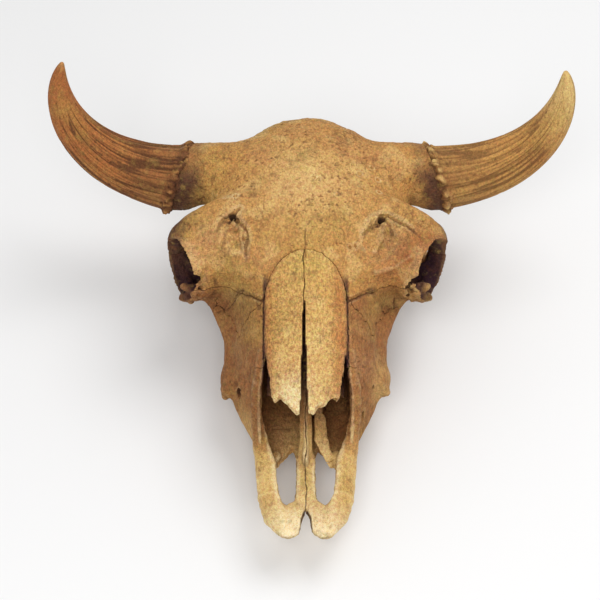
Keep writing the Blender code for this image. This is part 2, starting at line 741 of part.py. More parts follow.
def main():
    for obj in list(bpy.data.objects):
        bpy.data.objects.remove(obj)
    bone = coarse_bone()
    cut_by_burr_planes(bone)
    cut_by_floor(bone)
    keep_largest(bone)
    pieces = part_bone(bone)
    for piece in pieces:
        bend_face(piece)
    pieces.append(horn_core("left", 1))
    pieces.append(horn_core("right", -1))
    bpy.data.collections.remove(collection("cutters"))
    materials = {name: bone_material(name, colour) for name, colour in BONE_COLOURS.items()}
    empty = resting_place()
    for piece in pieces:
        kind = piece.name.replace("_left", "").replace("_right", "")
        piece.data.materials.append(materials[kind])
        piece.data.shade_smooth()
        piece.data.set_sharp_from_angle(angle=math.radians(40))
        piece.parent = empty


main()
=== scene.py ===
"""Bison skull of dry, dug-up bone: the fine surface and the finish of every bone.

The bones are one field of signed distances, as in the solids, on a finer grid and with the forms
that the solids leave out: holes and grooves of the forehead, ragged rims, the broken nasal tips,
tooth crowns and the pits where muscles held. The field is parted along the sutures, each part is
meshed, its skin is roughened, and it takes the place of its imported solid.
Lengths are in mm in the bones' own frame: x to the animal's left, y back from the snout's tip and
z up from the chewing plane. The last step turns them into metres, as the skull rests.
"""
import math
from collections import namedtuple

import bpy
import numpy as np
import openvdb
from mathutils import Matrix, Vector


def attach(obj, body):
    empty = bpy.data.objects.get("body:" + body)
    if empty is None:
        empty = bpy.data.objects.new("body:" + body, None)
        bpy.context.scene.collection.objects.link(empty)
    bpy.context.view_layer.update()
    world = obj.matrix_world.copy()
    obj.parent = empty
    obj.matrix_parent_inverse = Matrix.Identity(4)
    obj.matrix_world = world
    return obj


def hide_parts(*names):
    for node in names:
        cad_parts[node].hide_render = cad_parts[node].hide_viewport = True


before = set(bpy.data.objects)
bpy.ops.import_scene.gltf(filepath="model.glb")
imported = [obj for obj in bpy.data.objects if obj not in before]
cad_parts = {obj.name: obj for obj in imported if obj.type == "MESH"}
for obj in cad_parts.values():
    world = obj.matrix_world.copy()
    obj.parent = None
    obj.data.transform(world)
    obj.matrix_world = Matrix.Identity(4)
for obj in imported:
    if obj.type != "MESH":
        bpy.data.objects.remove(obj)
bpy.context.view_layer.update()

MM = 0.001

# The grid's step and the gap along every suture, in mm.
STEP = 1.45
GAP = 0.3

# Rest: the snout is up by this much, and the floor cuts small flats on molars and processes.
# The middle of the resting skull's outline, seen from above, lies at the origin.
PITCH = math.radians(6.0)
FLOOR = -24.2
MIDDLE_X = 5.1
MIDDLE_Y = 269.8

# The face is a little bent to the animal's right: by how much in front, and where it ends.
LEAN = 2.4
LEAN_FROM_Y = 345.0
LEAN_FULL_Y = 265.0

# Nasal bones: the ridge line's front end and slope, half width and the centre of the rear arch.
NASAL_TIP_Y = 100.0
NASAL_TIP_Z = 118.0
NASAL_SLOPE = 0.4663
NASAL_HALF = 46.0
NASAL_ARCH_Y = 230.0
NASAL_THICK = 7.2
NASAL_BEND = 14.0
NASAL_SEAM_X = -2.0

# Orbits: the centre of the left rim, the way it looks, and its radius.
ORBIT = np.array([134.5, 300.0, 153.0])
ORBIT_AXIS = np.array([0.915, -0.40, 0.05]) / np.linalg.norm([0.915, -0.40, 0.05])
ORBIT_RADIUS = 34.5

# Horn cores: the middle of the left burr, the core's radius there and the burr's tilted plane.
HORN_BASE = np.array([150.5, 428.0, 183.0])
HORN_RADIUS = {"left": 37.2, "right": 39.4}
BURR_NORMAL = np.array([1.0, 0.234, 0.26]) / np.linalg.norm([1.0, 0.234, 0.26])
BURR_HEIGHT = 5.5
BURR_WIDTH = 11.0

# Each core: its length, and how steeply its axis rises at the base and at the tip. It bends
# faster and faster along its length, and sweeps back a little.
HORN_LENGTH = {"left": 231.0, "right": 232.0}
HORN_RISE = {"left": (-4.0, 104.0), "right": (-2.6, 112.6)}
HORN_BEND = {"left": 1.37, "right": 1.30}
HORN_TAPER = {"left": (1.35, 0.64), "right": (1.16, 0.67)}
HORN_SWEEP = 0.2

# Cheek teeth, from the first premolar to the last molar: length and breadth.
TEETH_START = 148.0
TEETH = [(15, 14), (19, 17), (20, 20), (26, 25), (30, 27), (33, 26)]
TEETH_APART = 0.4
LONGEST_PREMOLAR = 21
TOOTH_ROOT_Z = 34.0
CHEWING_Z = 4.0

SIDES = (("left", 1), ("right", -1))

# The field's value far from the bone, and how far from a shape its blend still reaches.
FAR = 60.0
REACH = 26.0

Shape = namedtuple("Shape", "low high distance")


def smooth_min(a, b, blend):
    h = np.maximum(blend - np.abs(a - b), 0.0)
    return np.minimum(a, b) - h * h / (4.0 * blend)


def smooth_max(a, b, blend):
    return -smooth_min(-a, -b, blend)


def through(stations, values):
    """A smooth curve through the values at the stations, as a function of the station."""
    at = np.array(stations, float)
    value = np.array(values, float)
    slope = np.gradient(value, at)
    fine = np.linspace(at[0], at[-1], 400)
    i = np.clip(np.searchsorted(at, fine) - 1, 0, len(at) - 2)
    span = at[i + 1] - at[i]
    t = (fine - at[i]) / span
    smooth = (
        value[i] * (1 + 2 * t) * (1 - t) ** 2
        + value[i + 1] * t * t * (3 - 2 * t)
        + span * (slope[i] * t * (1 - t) ** 2 - slope[i + 1] * t * t * (1 - t))
    )
    return lambda y: np.interp(y, fine, smooth).astype(np.float32)


class Field:
    """Signed distance to the bone, in mm, on a grid with a value every STEP."""

    def __init__(self, axes, value):
        self.axes = axes
        self.value = value
        self.low = np.array([axis[0] for axis in axes], float)

    def block(self, low, high):
        """The part of the grid near a box, and its three coordinates."""
        cut = []
        for axis, a, b in zip(self.axes, low, high):
            first, last = np.searchsorted(axis, [a - REACH, b + REACH])
            cut.append(slice(first, max(last, first + 1)))
        return tuple(cut), np.ix_(*[axis[part] for axis, part in zip(self.axes, cut)])

    def add(self, shape, blend):
        cut, (x, y, z) = self.block(shape.low, shape.high)
        self.value[cut] = smooth_min(self.value[cut], shape.distance(x, y, z), blend)

    def cut(self, shape, blend):
        cut, (x, y, z) = self.block(shape.low, shape.high)
        self.value[cut] = smooth_max(self.value[cut], -shape.distance(x, y, z), blend)


def ellipsoid(centre, radii, pitch=0.0):
    """An ellipsoid, turned about the x axis by the pitch in degrees."""
    p = math.radians(pitch)
    c = np.array(centre, np.float32)
    r = np.array(radii, np.float32)

    def distance(x, y, z):
        dy = y - c[1]
        dz = z - c[2]
        q = [x - c[0], math.cos(p) * dy + math.sin(p) * dz, math.cos(p) * dz - math.sin(p) * dy]
        k0 = np.sqrt(sum((q[k] / r[k]) ** 2 for k in range(3))) + 1e-6
        k1 = np.sqrt(sum((q[k] / r[k] ** 2) ** 2 for k in range(3))) + 1e-6
        return k0 * (k0 - 1.0) / k1

    reach = np.array([r[0], max(r[1], r[2]), max(r[1], r[2])])
    return Shape(c - reach, c + reach, distance)


def rod(points, radii, flat=None, ratio=1.0):
    """A bar through points with a radius at each, and ratio times as thick along flat."""
    pts = np.array(points, np.float32)
    rad = np.broadcast_to(np.array(radii, np.float32), (len(pts),))
    n = None if flat is None else np.array(flat, np.float32) / np.linalg.norm(flat)

    def distance(x, y, z):
        best = None
        for a, b, ra, rb in zip(pts[:-1], pts[1:], rad[:-1], rad[1:]):
            ab = b - a
            dx, dy, dz = x - a[0], y - a[1], z - a[2]
            t = np.clip((dx * ab[0] + dy * ab[1] + dz * ab[2]) / (ab @ ab), 0, 1)
            qx, qy, qz = dx - t * ab[0], dy - t * ab[1], dz - t * ab[2]
            squared = qx * qx + qy * qy + qz * qz
            if n is not None:
                across = qx * n[0] + qy * n[1] + qz * n[2]
                squared = squared + across * across * (1.0 / ratio**2 - 1.0)
            d = np.sqrt(squared) - (ra + t * (rb - ra))
            if n is not None:
                d = d * (0.5 + 0.5 * ratio)
            best = d if best is None else np.minimum(best, d)
        return best

    return Shape((pts - rad[:, None]).min(0), (pts + rad[:, None]).max(0), distance)


def lean(y):
    """How far the bent face lies to the animal's right at a place, in mm."""
    t = np.clip((LEAN_FROM_Y - y) / (LEAN_FROM_Y - LEAN_FULL_Y), 0, 1)
    return LEAN * t * t * (3 - 2 * t)


def nasal_line(y):
    """Height of the nasal bones' ridge."""
    return NASAL_TIP_Z + NASAL_SLOPE * (y - NASAL_TIP_Y)


def frontal_shield():
    """The forehead: a broad shield, widest over the orbits and waisted in front of the horns."""
    y_at = [262, 280, 300, 318, 333, 346, 358, 370, 385, 402, 430, 458, 480, 498, 513]
    width = through(y_at, [78, 96, 118, 142, 151, 139, 120, 114, 116, 120, 117, 95, 73, 53, 34])
    edge = through(y_at, [168, 172, 178, 181, 180, 179, 177, 176, 175, 174, 172, 170, 168, 167, 166])
    crown = through(y_at, [20, 26, 32, 40, 46, 50, 54, 58, 62, 65, 68, 67, 62, 50, 30])
    depth = through(y_at, [60, 52, 44, 38, 34, 34, 34, 36, 38, 42, 46, 60, 70, 70, 60])
    power = 2.15

    def distance(x, y, z):
        ax = np.abs(x)
        dz = z - edge(y)
        tall = np.where(dz > 0, crown(y), depth(y))
        k = ((ax / width(y)) ** power + (np.abs(dz) / tall) ** power) ** (1 / power) + 1e-4
        d = np.sqrt(ax * ax + dz * dz) * (1 - 1 / k)
        d = smooth_max(d, y_at[0] - y, 14.0)
        return smooth_max(d, y - (y_at[-1] - 2.0), 16.0)

    return Shape((-5, 255, 100), (160, 516, 245), distance)


def face():
    """The deep block of the two upper jaws, under the nasal bones."""
    y_at = [92, 112, 130, 150, 172, 200, 235, 268, 292, 312]
    top_half = through(y_at, [40, 42, 43, 44, 45, 47, 51, 62, 76, 84])
    mid_z = through(y_at, [52, 54, 56, 60, 66, 76, 88, 102, 114, 122])
    mid_half = through(y_at, [50, 55, 62, 72, 81, 87, 88, 94, 100, 95])
    low_z = through(y_at, [34, 30, 27, 25, 24, 23, 23, 24, 27, 36])
    low_half = through(y_at, [34, 40, 46, 54, 60, 65, 67, 67, 64, 56])

    def distance(x, y, z):
        ax = np.abs(x)
        top, mid, low = nasal_line(y) - 2, mid_z(y), low_z(y)
        up = np.clip((z - mid) / (top - mid), 0, 1)
        down = np.clip((mid - z) / (mid - low), 0, 1)
        half = mid_half(y) + (top_half(y) - mid_half(y)) * (0.75 * up + 0.25 * up * up)
        half = half + (low_half(y) - mid_half(y)) * down * down * (3 - 2 * down)
        side = (ax - half) * 0.86
        roof = (z - top + 13 * (ax / NASAL_HALF) ** 2) * 0.9
        d = smooth_max(smooth_max(side, roof, 10), low - z, 9)
        d = smooth_max(d, 96.0 - y, 6)
        return smooth_max(d, y - 306.0, 16)

    return Shape((-5, 90, 15), (110, 312, 220), distance)


def nasal_cavity():
    half_at = through([60, 110, 150, 180, 210, 240, 270], [47, 48, 50, 49, 45, 37, 28])
    floor_at = through([60, 110, 160, 200, 240, 270], [39, 39, 40, 43, 50, 62])

    def distance(x, y, z):
        ax = np.abs(x)
        roof = z - (nasal_line(y) - 11 - 8 * (ax / NASAL_HALF) ** 2)
        d = smooth_max(ax - half_at(y), roof, 10)
        d = smooth_max(d, floor_at(y) - z, 16)
        return smooth_max(d, y - 262.0, 20)

    return Shape((-5, 40, 35), (50, 265, 200), distance)


def aperture_cut():
    """All in front of the edge that runs up from the snout to the side of the nasal bones."""
    low_end = np.array([104.0, 62.0])
    high_end = np.array([164.0, 140.0])
    along = (high_end - low_end) / np.linalg.norm(high_end - low_end)

    def distance(x, y, z):
        plane = (y - low_end[0]) * along[1] - (z - low_end[1]) * along[0]
        bow = 5.0 * np.sin(np.clip((z - low_end[1]) / (high_end[1] - low_end[1]), 0, 1) * np.pi)
        return smooth_max(plane + bow, 57.0 - z, 8) + 0 * x

    return Shape((-5, 60, 55), (80, 180, 190), distance)


def nasal_middle(x, y):
    """Height of the nasal bones' middle layer at a place."""
    return nasal_line(y) - 1.0 - NASAL_BEND * (np.abs(x) / NASAL_HALF) ** 2


def nasal_bones():
    """Both nasal bones as one bent slab, forked at the front; the gap between them is cut later."""
    outer = through([95, 120, 145, 160, 175, 228], [34, 36.5, 39.5, 42.5, 45, 46])
    fork_x = np.array([0, 5, 10, 20, 28, 33, 37, 50], np.float32)
    fork_y = np.array([105, 102, 101, 112, 121.5, 118, 122, 134], np.float32)

    def distance(x, y, z):
        ax = np.abs(x)
        back = np.sqrt(ax**2 + np.maximum(y - NASAL_ARCH_Y, 0) ** 2) - NASAL_HALF
        side = np.where(y > NASAL_ARCH_Y, back, ax - outer(y))
        front = (np.interp(ax, fork_x, fork_y).astype(np.float32) - y) * 0.75
        slab = np.abs(z - nasal_middle(x, y)) * 0.88 - NASAL_THICK / 2
        return smooth_max(smooth_max(slab, side, 5), front, 4)

    return Shape((-1, 95, 85), (50, 280, 210), distance)


def add_cranium(f):
    f.add(frontal_shield(), 4)
    f.add(ellipsoid((0, 420, 140), (82, 88, 74)), 16)
    f.add(ellipsoid((0, 462, 128), (114, 34, 60)), 14)
    f.add(ellipsoid((96, 448, 108), (26, 28, 26)), 12)
    f.add(ellipsoid((0, 490, 172), (50, 21, 30)), 14)
    f.add(rod([(0, 497, 202), (24, 496, 201)], [13, 12]), 12)
    f.add(rod([(84, 426, 181), (118, 427, 185.5), (172, 430, 181.5)], [46, 40.5, 38]), 9)


def add_orbits(f):
    root = ORBIT - 58 * ORBIT_AXIS
    f.add(rod([root, ORBIT - 3 * ORBIT_AXIS], [44, ORBIT_RADIUS + 5]), 16)
    f.add(ellipsoid((144, 326, 175), (12, 14, 11)), 11)
    f.add(ellipsoid((0, 345, 110), (52, 70, 62)), 20)


def cut_fossae(f):
    """The temporal fossa behind each orbit, the hollow under it, and the orbit itself."""
    f.cut(rod([(128, 355, 142), (112, 386, 140), (112, 425, 138), (128, 462, 136)], [25, 29, 25, 17]), 12)
    f.cut(rod([(96, 350, 84), (92, 385, 78)], [38, 30]), 14)
    ball = ORBIT - (1.5, 1, 0)
    eye = [ball + 14 * ORBIT_AXIS, ball - 18 * ORBIT_AXIS, ball - 56 * ORBIT_AXIS]
    f.cut(rod(eye, [ORBIT_RADIUS + 2, ORBIT_RADIUS - 2, 20]), 3)


def add_arches(f):
    arch = [(134, 300, 114), (139, 328, 112), (142, 352, 107)]
    arch += [(137, 384, 104), (126, 412, 108), (104, 436, 114)]
    f.add(rod(arch, [12, 11, 10, 10, 11, 14], (1, 0, -0.1), 0.55), 8)
    f.add(rod([(147, 334, 172), (148, 338, 148), (141, 336, 118)], [12, 9, 10], (0.85, 0.5, 0), 0.6), 8)


def palatal_fissures():
    """The long opening on each side behind the snout's tip, round in front and pointed at the rear."""
    y_at = [38, 46, 60, 80, 97, 115, 133]
    middle = through(y_at, [21, 21, 21, 21, 20.5, 17, 13])
    half = through(y_at, [-3, 5.5, 9, 10.5, 10, 6, -2])

    def distance(x, y, z):
        beside = (np.abs(np.abs(x) - middle(y)) - half(y)) * 0.9
        return smooth_max(beside, np.abs(z - 40) - 26, 4)

    return Shape((-1, 40, 16), (34, 132, 64), distance)


def add_snout(f):
    """The two premaxillae: a strip along each side, a plate at the tip, a splint by the middle."""
    strip = [(34.5, 29, 38), (39.5, 50, 42), (43.5, 88, 49)]
    strip += [(49.5, 112, 62), (55, 134, 88), (56, 150, 116)]
    f.add(rod(strip, [12, 13, 12.8, 9, 6, 3.5], (0.4, -0.35, 0.8), 0.5), 4)
    f.add(ellipsoid((35, 101, 44), (9, 15, 4.5)), 5)
    f.add(ellipsoid((19.5, 24.5, 36), (19, 24.5, 6.5), pitch=4), 7)
    splint = [(10, 20, 36), (6.8, 44, 39), (6, 70, 41), (6, 106, 44)]
    f.add(rod(splint, [9, 6, 5.6, 6.5], (0, 0, 1), 0.8), 6)
    f.cut(palatal_fissures(), 3)
    f.cut(ellipsoid((0, -2, 36), (6.8, 34, 34)), 2)
    f.add(rod([(0, 40, 37), (0, 70, 40), (0, 104, 44)], [4.5, 5.0, 6.0], (0, 0, 1), 0.8), 3)


def add_vomer(f):
    f.add(rod([(0, 104, 45), (0, 150, 47), (0, 255, 58)], [7, 7, 7]), 4)
    f.add(rod([(0, 110, 48), (0, 160, 78), (0, 240, 110)], [24, 30, 42], (1, 0, 0), 0.2), 3)


def add_underside(f):
    f.add(rod([(0, 500, 72), (0, 440, 66), (0, 380, 66)], [30, 24, 20], (0, 0, 1), 0.7), 12)
    f.add(rod([(0, 380, 66), (0, 340, 72)], [18, 18]), 10)
    f.add(rod([(22, 300, 40), (24, 330, 52), (24, 362, 74)], [17, 16, 14], (1, 0.1, 0), 0.3), 4)
    f.add(ellipsoid((44, 424, 54), (14, 20, 18)), 6)
    f.add(rod([(92, 424, 100), (104, 404, 98)], [17, 15], (0, 0, 1), 0.7), 10)
    f.add(ellipsoid((37, 502, 84), (25, 23, 29), pitch=20), 6)
    f.add(rod([(82, 468, 92), (78, 476, 58), (74, 482, 22)], [24, 16, 9], (0.5, 0.86, 0), 0.7), 8)
    f.cut(rod([(0, 540, 104), (0, 490, 100), (0, 455, 100)], [21, 20, 17]), 4)
    f.cut(rod([(136, 440, 112), (100, 436, 108)], [6, 5]), 2)
    f.cut(ellipsoid((0, 306, 56), (19, 44, 19)), 5)


def tooth_places():
    """Each cheek tooth's middle, length and breadth, from front to back."""
    y = TEETH_START
    for length, breadth in TEETH:
        middle = y + length / 2
        x = float(np.interp(middle, [150, 200, 250, 292], [45, 51, 54, 52]))
        yield middle, x, length, breadth
        y += length + TEETH_APART


def lobe_places():
    """Each lobe's x, y and length and its tooth's breadth: one to a premolar, two to a molar."""
    for middle, x, length, breadth in tooth_places():
        lobes = 2 if length > LONGEST_PREMOLAR else 1
        for k in range(lobes):
            yield x, middle + (k - (lobes - 1) / 2) * length / lobes, length / lobes, breadth


def add_teeth(f):
    """The lobes of the cheek teeth, sunk into the jaw and worn flat."""
    for x, y, length, breadth in lobe_places():
        reach = length / 2 + 0.6
        column = rod([(x, y, TOOTH_ROOT_Z), (x, y, -6)], reach, (1, 0, 0), breadth / 2 / reach)

        def worn(gx, gy, gz, column=column):
            return smooth_max(column.distance(gx, gy, gz), CHEWING_Z - gz, 2.0)

        f.add(Shape(column.low, column.high, worn), 1.5)


def bone_field():
    """The skull without its finest forms, on the half of the grid with x from 0 up."""
    spans = ((0, 190), (-6, 548), (-14, 262))
    axes = [np.arange(low, high + STEP, STEP, dtype=np.float32) for low, high in spans]
    f = Field(axes, np.full([len(axis) for axis in axes], FAR, np.float32))
    add_cranium(f)
    f.add(face(), 16)
    f.add(rod([(103, 288, 112), (82, 246, 92), (80, 206, 73)], [9, 8, 9]), 14)
    f.add(ellipsoid((83, 196, 73), (11, 17, 12)), 12)
    add_orbits(f)
    cut_fossae(f)
    add_arches(f)
    f.cut(aperture_cut(), 3)
    f.cut(nasal_cavity(), 3)
    f.add(nasal_bones(), 1.5)
    add_vomer(f)
    f.cut(ellipsoid((0, 222, 17), (38, 92, 14)), 6)
    add_snout(f)
    add_underside(f)
    add_teeth(f)
    return f


def both_sides(half):
    """The field on both sides of the middle plane, from the half of it."""
    x, y, z = half.axes
    value = np.concatenate([half.value[:0:-1], half.value], axis=0)
    return Field([np.concatenate([-x[:0:-1], x]), y, z], value)


def cell_shares(t):
    """Each corner of a grid cell, with its share at places from 0 to 1 across the cell."""
    for corner in np.ndindex(2, 2, 2):
        x, y, z = [t[:, k] if far else 1 - t[:, k] for k, far in enumerate(corner)]
        yield corner, x * y * z


def sample(f, points):
    """The field at points, read between the grid's values."""
    size = np.array(f.value.shape)
    place = (points - f.low) / STEP
    corner = np.clip(np.floor(place).astype(np.int64), 0, size - 2)
    t = np.clip(place - corner, 0, 1).astype(np.float32)
    flat = f.value.reshape(-1)
    base = (corner[:, 0] * size[1] + corner[:, 1]) * size[2] + corner[:, 2]
    total = np.zeros(len(points), np.float32)
    for (dx, dy, dz), share in cell_shares(t):
        total += share * flat[base + (dx * size[1] + dy) * size[2] + dz]
    return total


def shifts(reach):
    """A step of the reach along each axis in turn."""
    return np.eye(3) * reach


def slope(f, points, reach):
    """Unit vectors out of the bone at points."""
    way = np.empty_like(points)
    for k, shift in enumerate(shifts(reach)):
        way[:, k] = sample(f, points + shift) - sample(f, points - shift)
    return way / (np.linalg.norm(way, axis=1)[:, None] + 1e-9)


LATTICE_SIZE = 32
LATTICE = np.random.default_rng(5).random((LATTICE_SIZE,) * 3).astype(np.float32)


def noise(points, scale, shift=0.0):
    """Smooth noise from 0 to 1 at points, with lumps about as large as the scale."""
    place = points / scale + shift
    corner = np.floor(place).astype(np.int64)
    t = (place - corner).astype(np.float32)
    t = t * t * (3 - 2 * t)
    total = np.zeros(len(points), np.float32)
    for step, share in cell_shares(t):
        i, j, k = ((corner + step) % LATTICE_SIZE).T
        total += share * LATTICE[i, j, k]
    return total


def turned(points, angle):
    """Points turned about a slanted axis, so that layers of noise don't line up."""
    c, s = math.cos(angle), math.sin(angle)
    x, y, z = points[:, 0], points[:, 1], points[:, 2]
    y, z = c * y - s * z, s * y + c * z
    return np.stack([c * x - s * y, s * x + c * y, z], 1)


def fade(low, high, value):
    """0 below the low value, 1 above the high one, smooth between."""
    t = np.clip((value - low) / (high - low), 0, 1)
    return t * t * (3 - 2 * t)


def last_surface(line):
    """Where a line of the grid leaves the bone for the last time, in steps from its low end."""
    k = int(np.flatnonzero(line < 0)[-1])
    return k + line[k] / (line[k] - line[k + 1])


def cell_of(f, place, axis):
    return int(round((place - f.low[axis]) / STEP))


def top_of(f, x, y):
    """Height of the uppermost surface over a place."""
    return f.low[2] + STEP * last_surface(f.value[cell_of(f, x, 0), cell_of(f, y, 1)])


def rear_of(f, x, z):
    """How far back the bone reaches behind a place of the rear face."""
    return f.low[1] + STEP * last_surface(f.value[cell_of(f, x, 0), :, cell_of(f, z, 2)])


# Forehead: each side's hole over the orbit, and the grooves that run down from it, as x and y.
# The picture's left is the animal's right, where x is negative.
BROW_HOLES = [
    [(-89, 314), (-84, 320), (-77, 326)],
    [(79, 312), (84, 317), (91, 319)],
]
BROW_GROOVES = [
    [(-81, 317), (-78, 311), (-72, 307), (-67, 301), (-65, 296)],
    [(-66, 294), (-68, 286), (-67, 278)],
    [(-88, 316), (-94, 315), (-98, 312), (-101, 307)],
    [(79, 311), (74, 308), (69, 304), (63, 298)],
    [(93, 318), (105, 315), (118, 311), (132, 304)],
    [(88, 313), (93, 309), (96, 303)],
]
TEAR_SEAMS = [
    [(-49, 233), (-60, 244), (-74, 257), (-88, 266), (-102, 270)],
    [(46, 231), (56, 240), (68, 253), (80, 262)],
]
MEDIAN_LINE = [(-0.6, 297), (-1.4, 289), (-0.2, 281), (-1.0, 274), (0, 266)]
BROW_RIDGES = [
    [(-92, 320), (-100, 317), (-107, 309)],
    [(-90, 310), (-95, 302), (-97, 292)],
    [(76, 284), (82, 297), (86, 308)],
    [(90, 316), (95, 309), (101, 304)],
    [(78, 268), (99, 277), (117, 283)],
]
BROW_DIPS = [
    [(-92, 305), (-84, 296), (-80, 284)],
    [(80, 308), (74, 297), (70, 286)],
    [(92, 300), (92, 290), (86, 280)],
]
FOREHEAD_PITS = [
    (-82.5, 346.7, 2.4, 2.2), (-92.8, 349.3, 1.6, 1.5), (-102.5, 372, 1.8, 1.2), (-69.2, 294.4, 1.8, 1.6),
    (81.2, 354.7, 2.0, 1.6), (80.9, 376.8, 1.9, 1.6), (60.0, 378.0, 2.4, 1.5), (74.5, 392.0, 1.8, 1.2),
    (49.3, 283.4, 1.7, 1.7), (55.0, 285.3, 1.5, 1.4), (5.2, 283.4, 1.4, 1.2), (7.2, 365.1, 2.2, 1.3),
    (12.0, 363.0, 1.8, 1.0), (-40.0, 385.0, 1.6, 1.0), (33.0, 341.0, 1.3, 0.8), (-21.0, 318.0, 1.2, 0.8),
]

# Holes in the skull's base: two ends, the radius at each, and the blend.
BASE_HOLES = [
    ((24, 264, 20), (24, 262, 34), 3.4, 2.6, 1.5),
    ((34, 392, 40), (32, 396, 70), 5.5, 4.0, 2),
    ((27, 462, 44), (24, 458, 70), 4.5, 3.5, 2),
    ((55, 446, 40), (50, 442, 66), 4.0, 3.0, 2),
    ((62, 498, 70), (52, 486, 76), 4.5, 3.5, 2),
]


def mirrored(side, *points):
    """Points of the animal's left side, on the side that is asked for."""
    return [(side * x, y, z) for x, y, z in points]


def over(f, path, lift):
    """Points of a path over the forehead, lifted off the surface."""
    return [(x, y, top_of(f, x, y) + lift) for x, y in path]


def carve_forehead(f):
    """Ridges, hollows, holes and grooves of the forehead."""
    for path in BROW_DIPS:
        f.cut(rod(over(f, path, 9.0), [10.4, 11.0, 9.6]), 4)
    for path in BROW_RIDGES:
        f.add(rod(over(f, path, -2.0), [4.2, 3.6, 2.2]), 4)
    for path in BROW_HOLES:
        f.cut(rod(over(f, path, 0.0), [2.4, 4.4, 2.2]), 1.5)
        x, y, z = over(f, path[1:2], 0.0)[0]
        f.cut(rod([(x, y, z), (x * 0.985, y + 6, z - 12)], [4.2, 2.6]), 1.5)
    for path in BROW_GROOVES:
        f.cut(rod(over(f, path, 0.3), np.linspace(2.4, 0.9, len(path))), 1.5)
    for path in TEAR_SEAMS:
        f.cut(rod(over(f, path, 0.4), np.linspace(2.2, 1.2, len(path))), 1)
    f.cut(rod(over(f, MEDIAN_LINE, 0.0), [0.5, 0.7, 0.9, 0.9, 1.2]), 0.5)
    for x, y, radius, depth in FOREHEAD_PITS:
        f.cut(ellipsoid((x, y, top_of(f, x, y)), (radius, radius * 1.2, depth + 1)), 1)


def rim_place(side, turn, out):
    """A point at a turn round the orbit's rim, moved outward along the way that the orbit looks."""
    ahead = np.cross([0.0, 0.0, 1.0], ORBIT_AXIS)
    ahead = ahead / np.linalg.norm(ahead)
    over_axis = np.cross(ORBIT_AXIS, ahead)
    beside = (ORBIT_RADIUS + 3) * (math.cos(turn) * ahead + math.sin(turn) * over_axis)
    return (ORBIT - (1.5, 1, 0) + out * ORBIT_AXIS + beside) * (side, 1, 1)


def roughen_rims(f):
    """A chip and two ledges on the front and lower rim of each orbit, then small chips and knobs."""
    chip = [(131, 276, 166), (122, 267, 164), (117, 263, 166)]
    upper_ledge = [(138, 278, 143), (127, 272, 146), (112, 273, 145)]
    lower_ledge = [(141, 285, 122), (132, 277, 132), (118, 275, 138)]
    for name, side in SIDES:
        f.cut(rod(mirrored(side, *chip), [6.5, 4.0, 1.5]), 2)
        f.add(rod(mirrored(side, *upper_ledge), [4.0, 6.4, 6.0]), 8)
        f.add(rod(mirrored(side, *lower_ledge), [3.6, 5.6, 6.0]), 8)
    rng = np.random.default_rng(21)
    for name, side in SIDES:
        for turn in np.radians(np.arange(150, 300, 9)):
            place = rim_place(side, turn, rng.uniform(-3, 3))
            size = rng.uniform(1.8, 4.4, 3)
            if rng.random() < 0.6:
                f.cut(ellipsoid(place + rng.uniform(-2.5, 2.5, 3), size), 1.2)
            else:
                f.add(ellipsoid(place + rng.uniform(-2, 2, 3), size * 0.7), 3.5)


def break_nasals(f):
    """The tips of the nasal bones: the one on the left is broken off in a scoop."""
    f.cut(ellipsoid((17, 99, 118), (8, 12, 22)), 1.5)
    f.cut(ellipsoid((27, 108, 124), (5, 8, 20)), 1.5)
    f.cut(ellipsoid((-28, 115, 124), (2.2, 5, 20)), 1.0)
    rng = np.random.default_rng(31)
    for k in range(16):
        x = rng.uniform(-40, 40)
        y = float(np.interp(abs(x), [0, 10, 28, 37, 42], [104, 101, 121, 122, 140]))
        f.cut(ellipsoid((x, y - 1.5, nasal_middle(x, y)), rng.uniform(1.4, 2.6, 3)), 1)


def open_nose_sides(f):
    """The slits beside the nasal bones, where the side of the nose begins."""
    slit = [(x, y, nasal_line(y) - 15) for x, y in ((44.8, 136), (43.8, 150), (43.4, 160), (43.6, 171))]
    for name, side in SIDES:
        f.add(rod(mirrored(side, (54, 138, 98), (52.5, 158, 119), (50, 180, 134)), [4.5, 4.5, 2.0]), 6)
        f.cut(rod(mirrored(side, *slit), [20.0, 12.0, 6.5, 1.5], (1, 0, 0), 0.25), 1)


def carve_cheeks(f):
    """Foramina of the upper jaws, and the lumps of the facial tuberosities."""
    f.cut(rod([(-83, 161, 80), (-73, 170, 81), (-62, 188, 82)], [6.0, 5.0, 3.0]), 1.5)
    f.cut(rod([(62.5, 136, 70), (62.5, 141, 74.5), (62, 147, 79)], [1.2, 2.1, 1.2]), 0.8)
    f.cut(rod([(84, 166, 84), (72, 178, 85)], [2.6, 2.0]), 1.5)
    rng = np.random.default_rng(8)
    for name, side in SIDES:
        for k in range(9):
            middle = (side * rng.uniform(84, 91), rng.uniform(178, 212), rng.uniform(62, 82))
            f.add(ellipsoid(middle, rng.uniform(3.0, 5.5, 3)), 4)


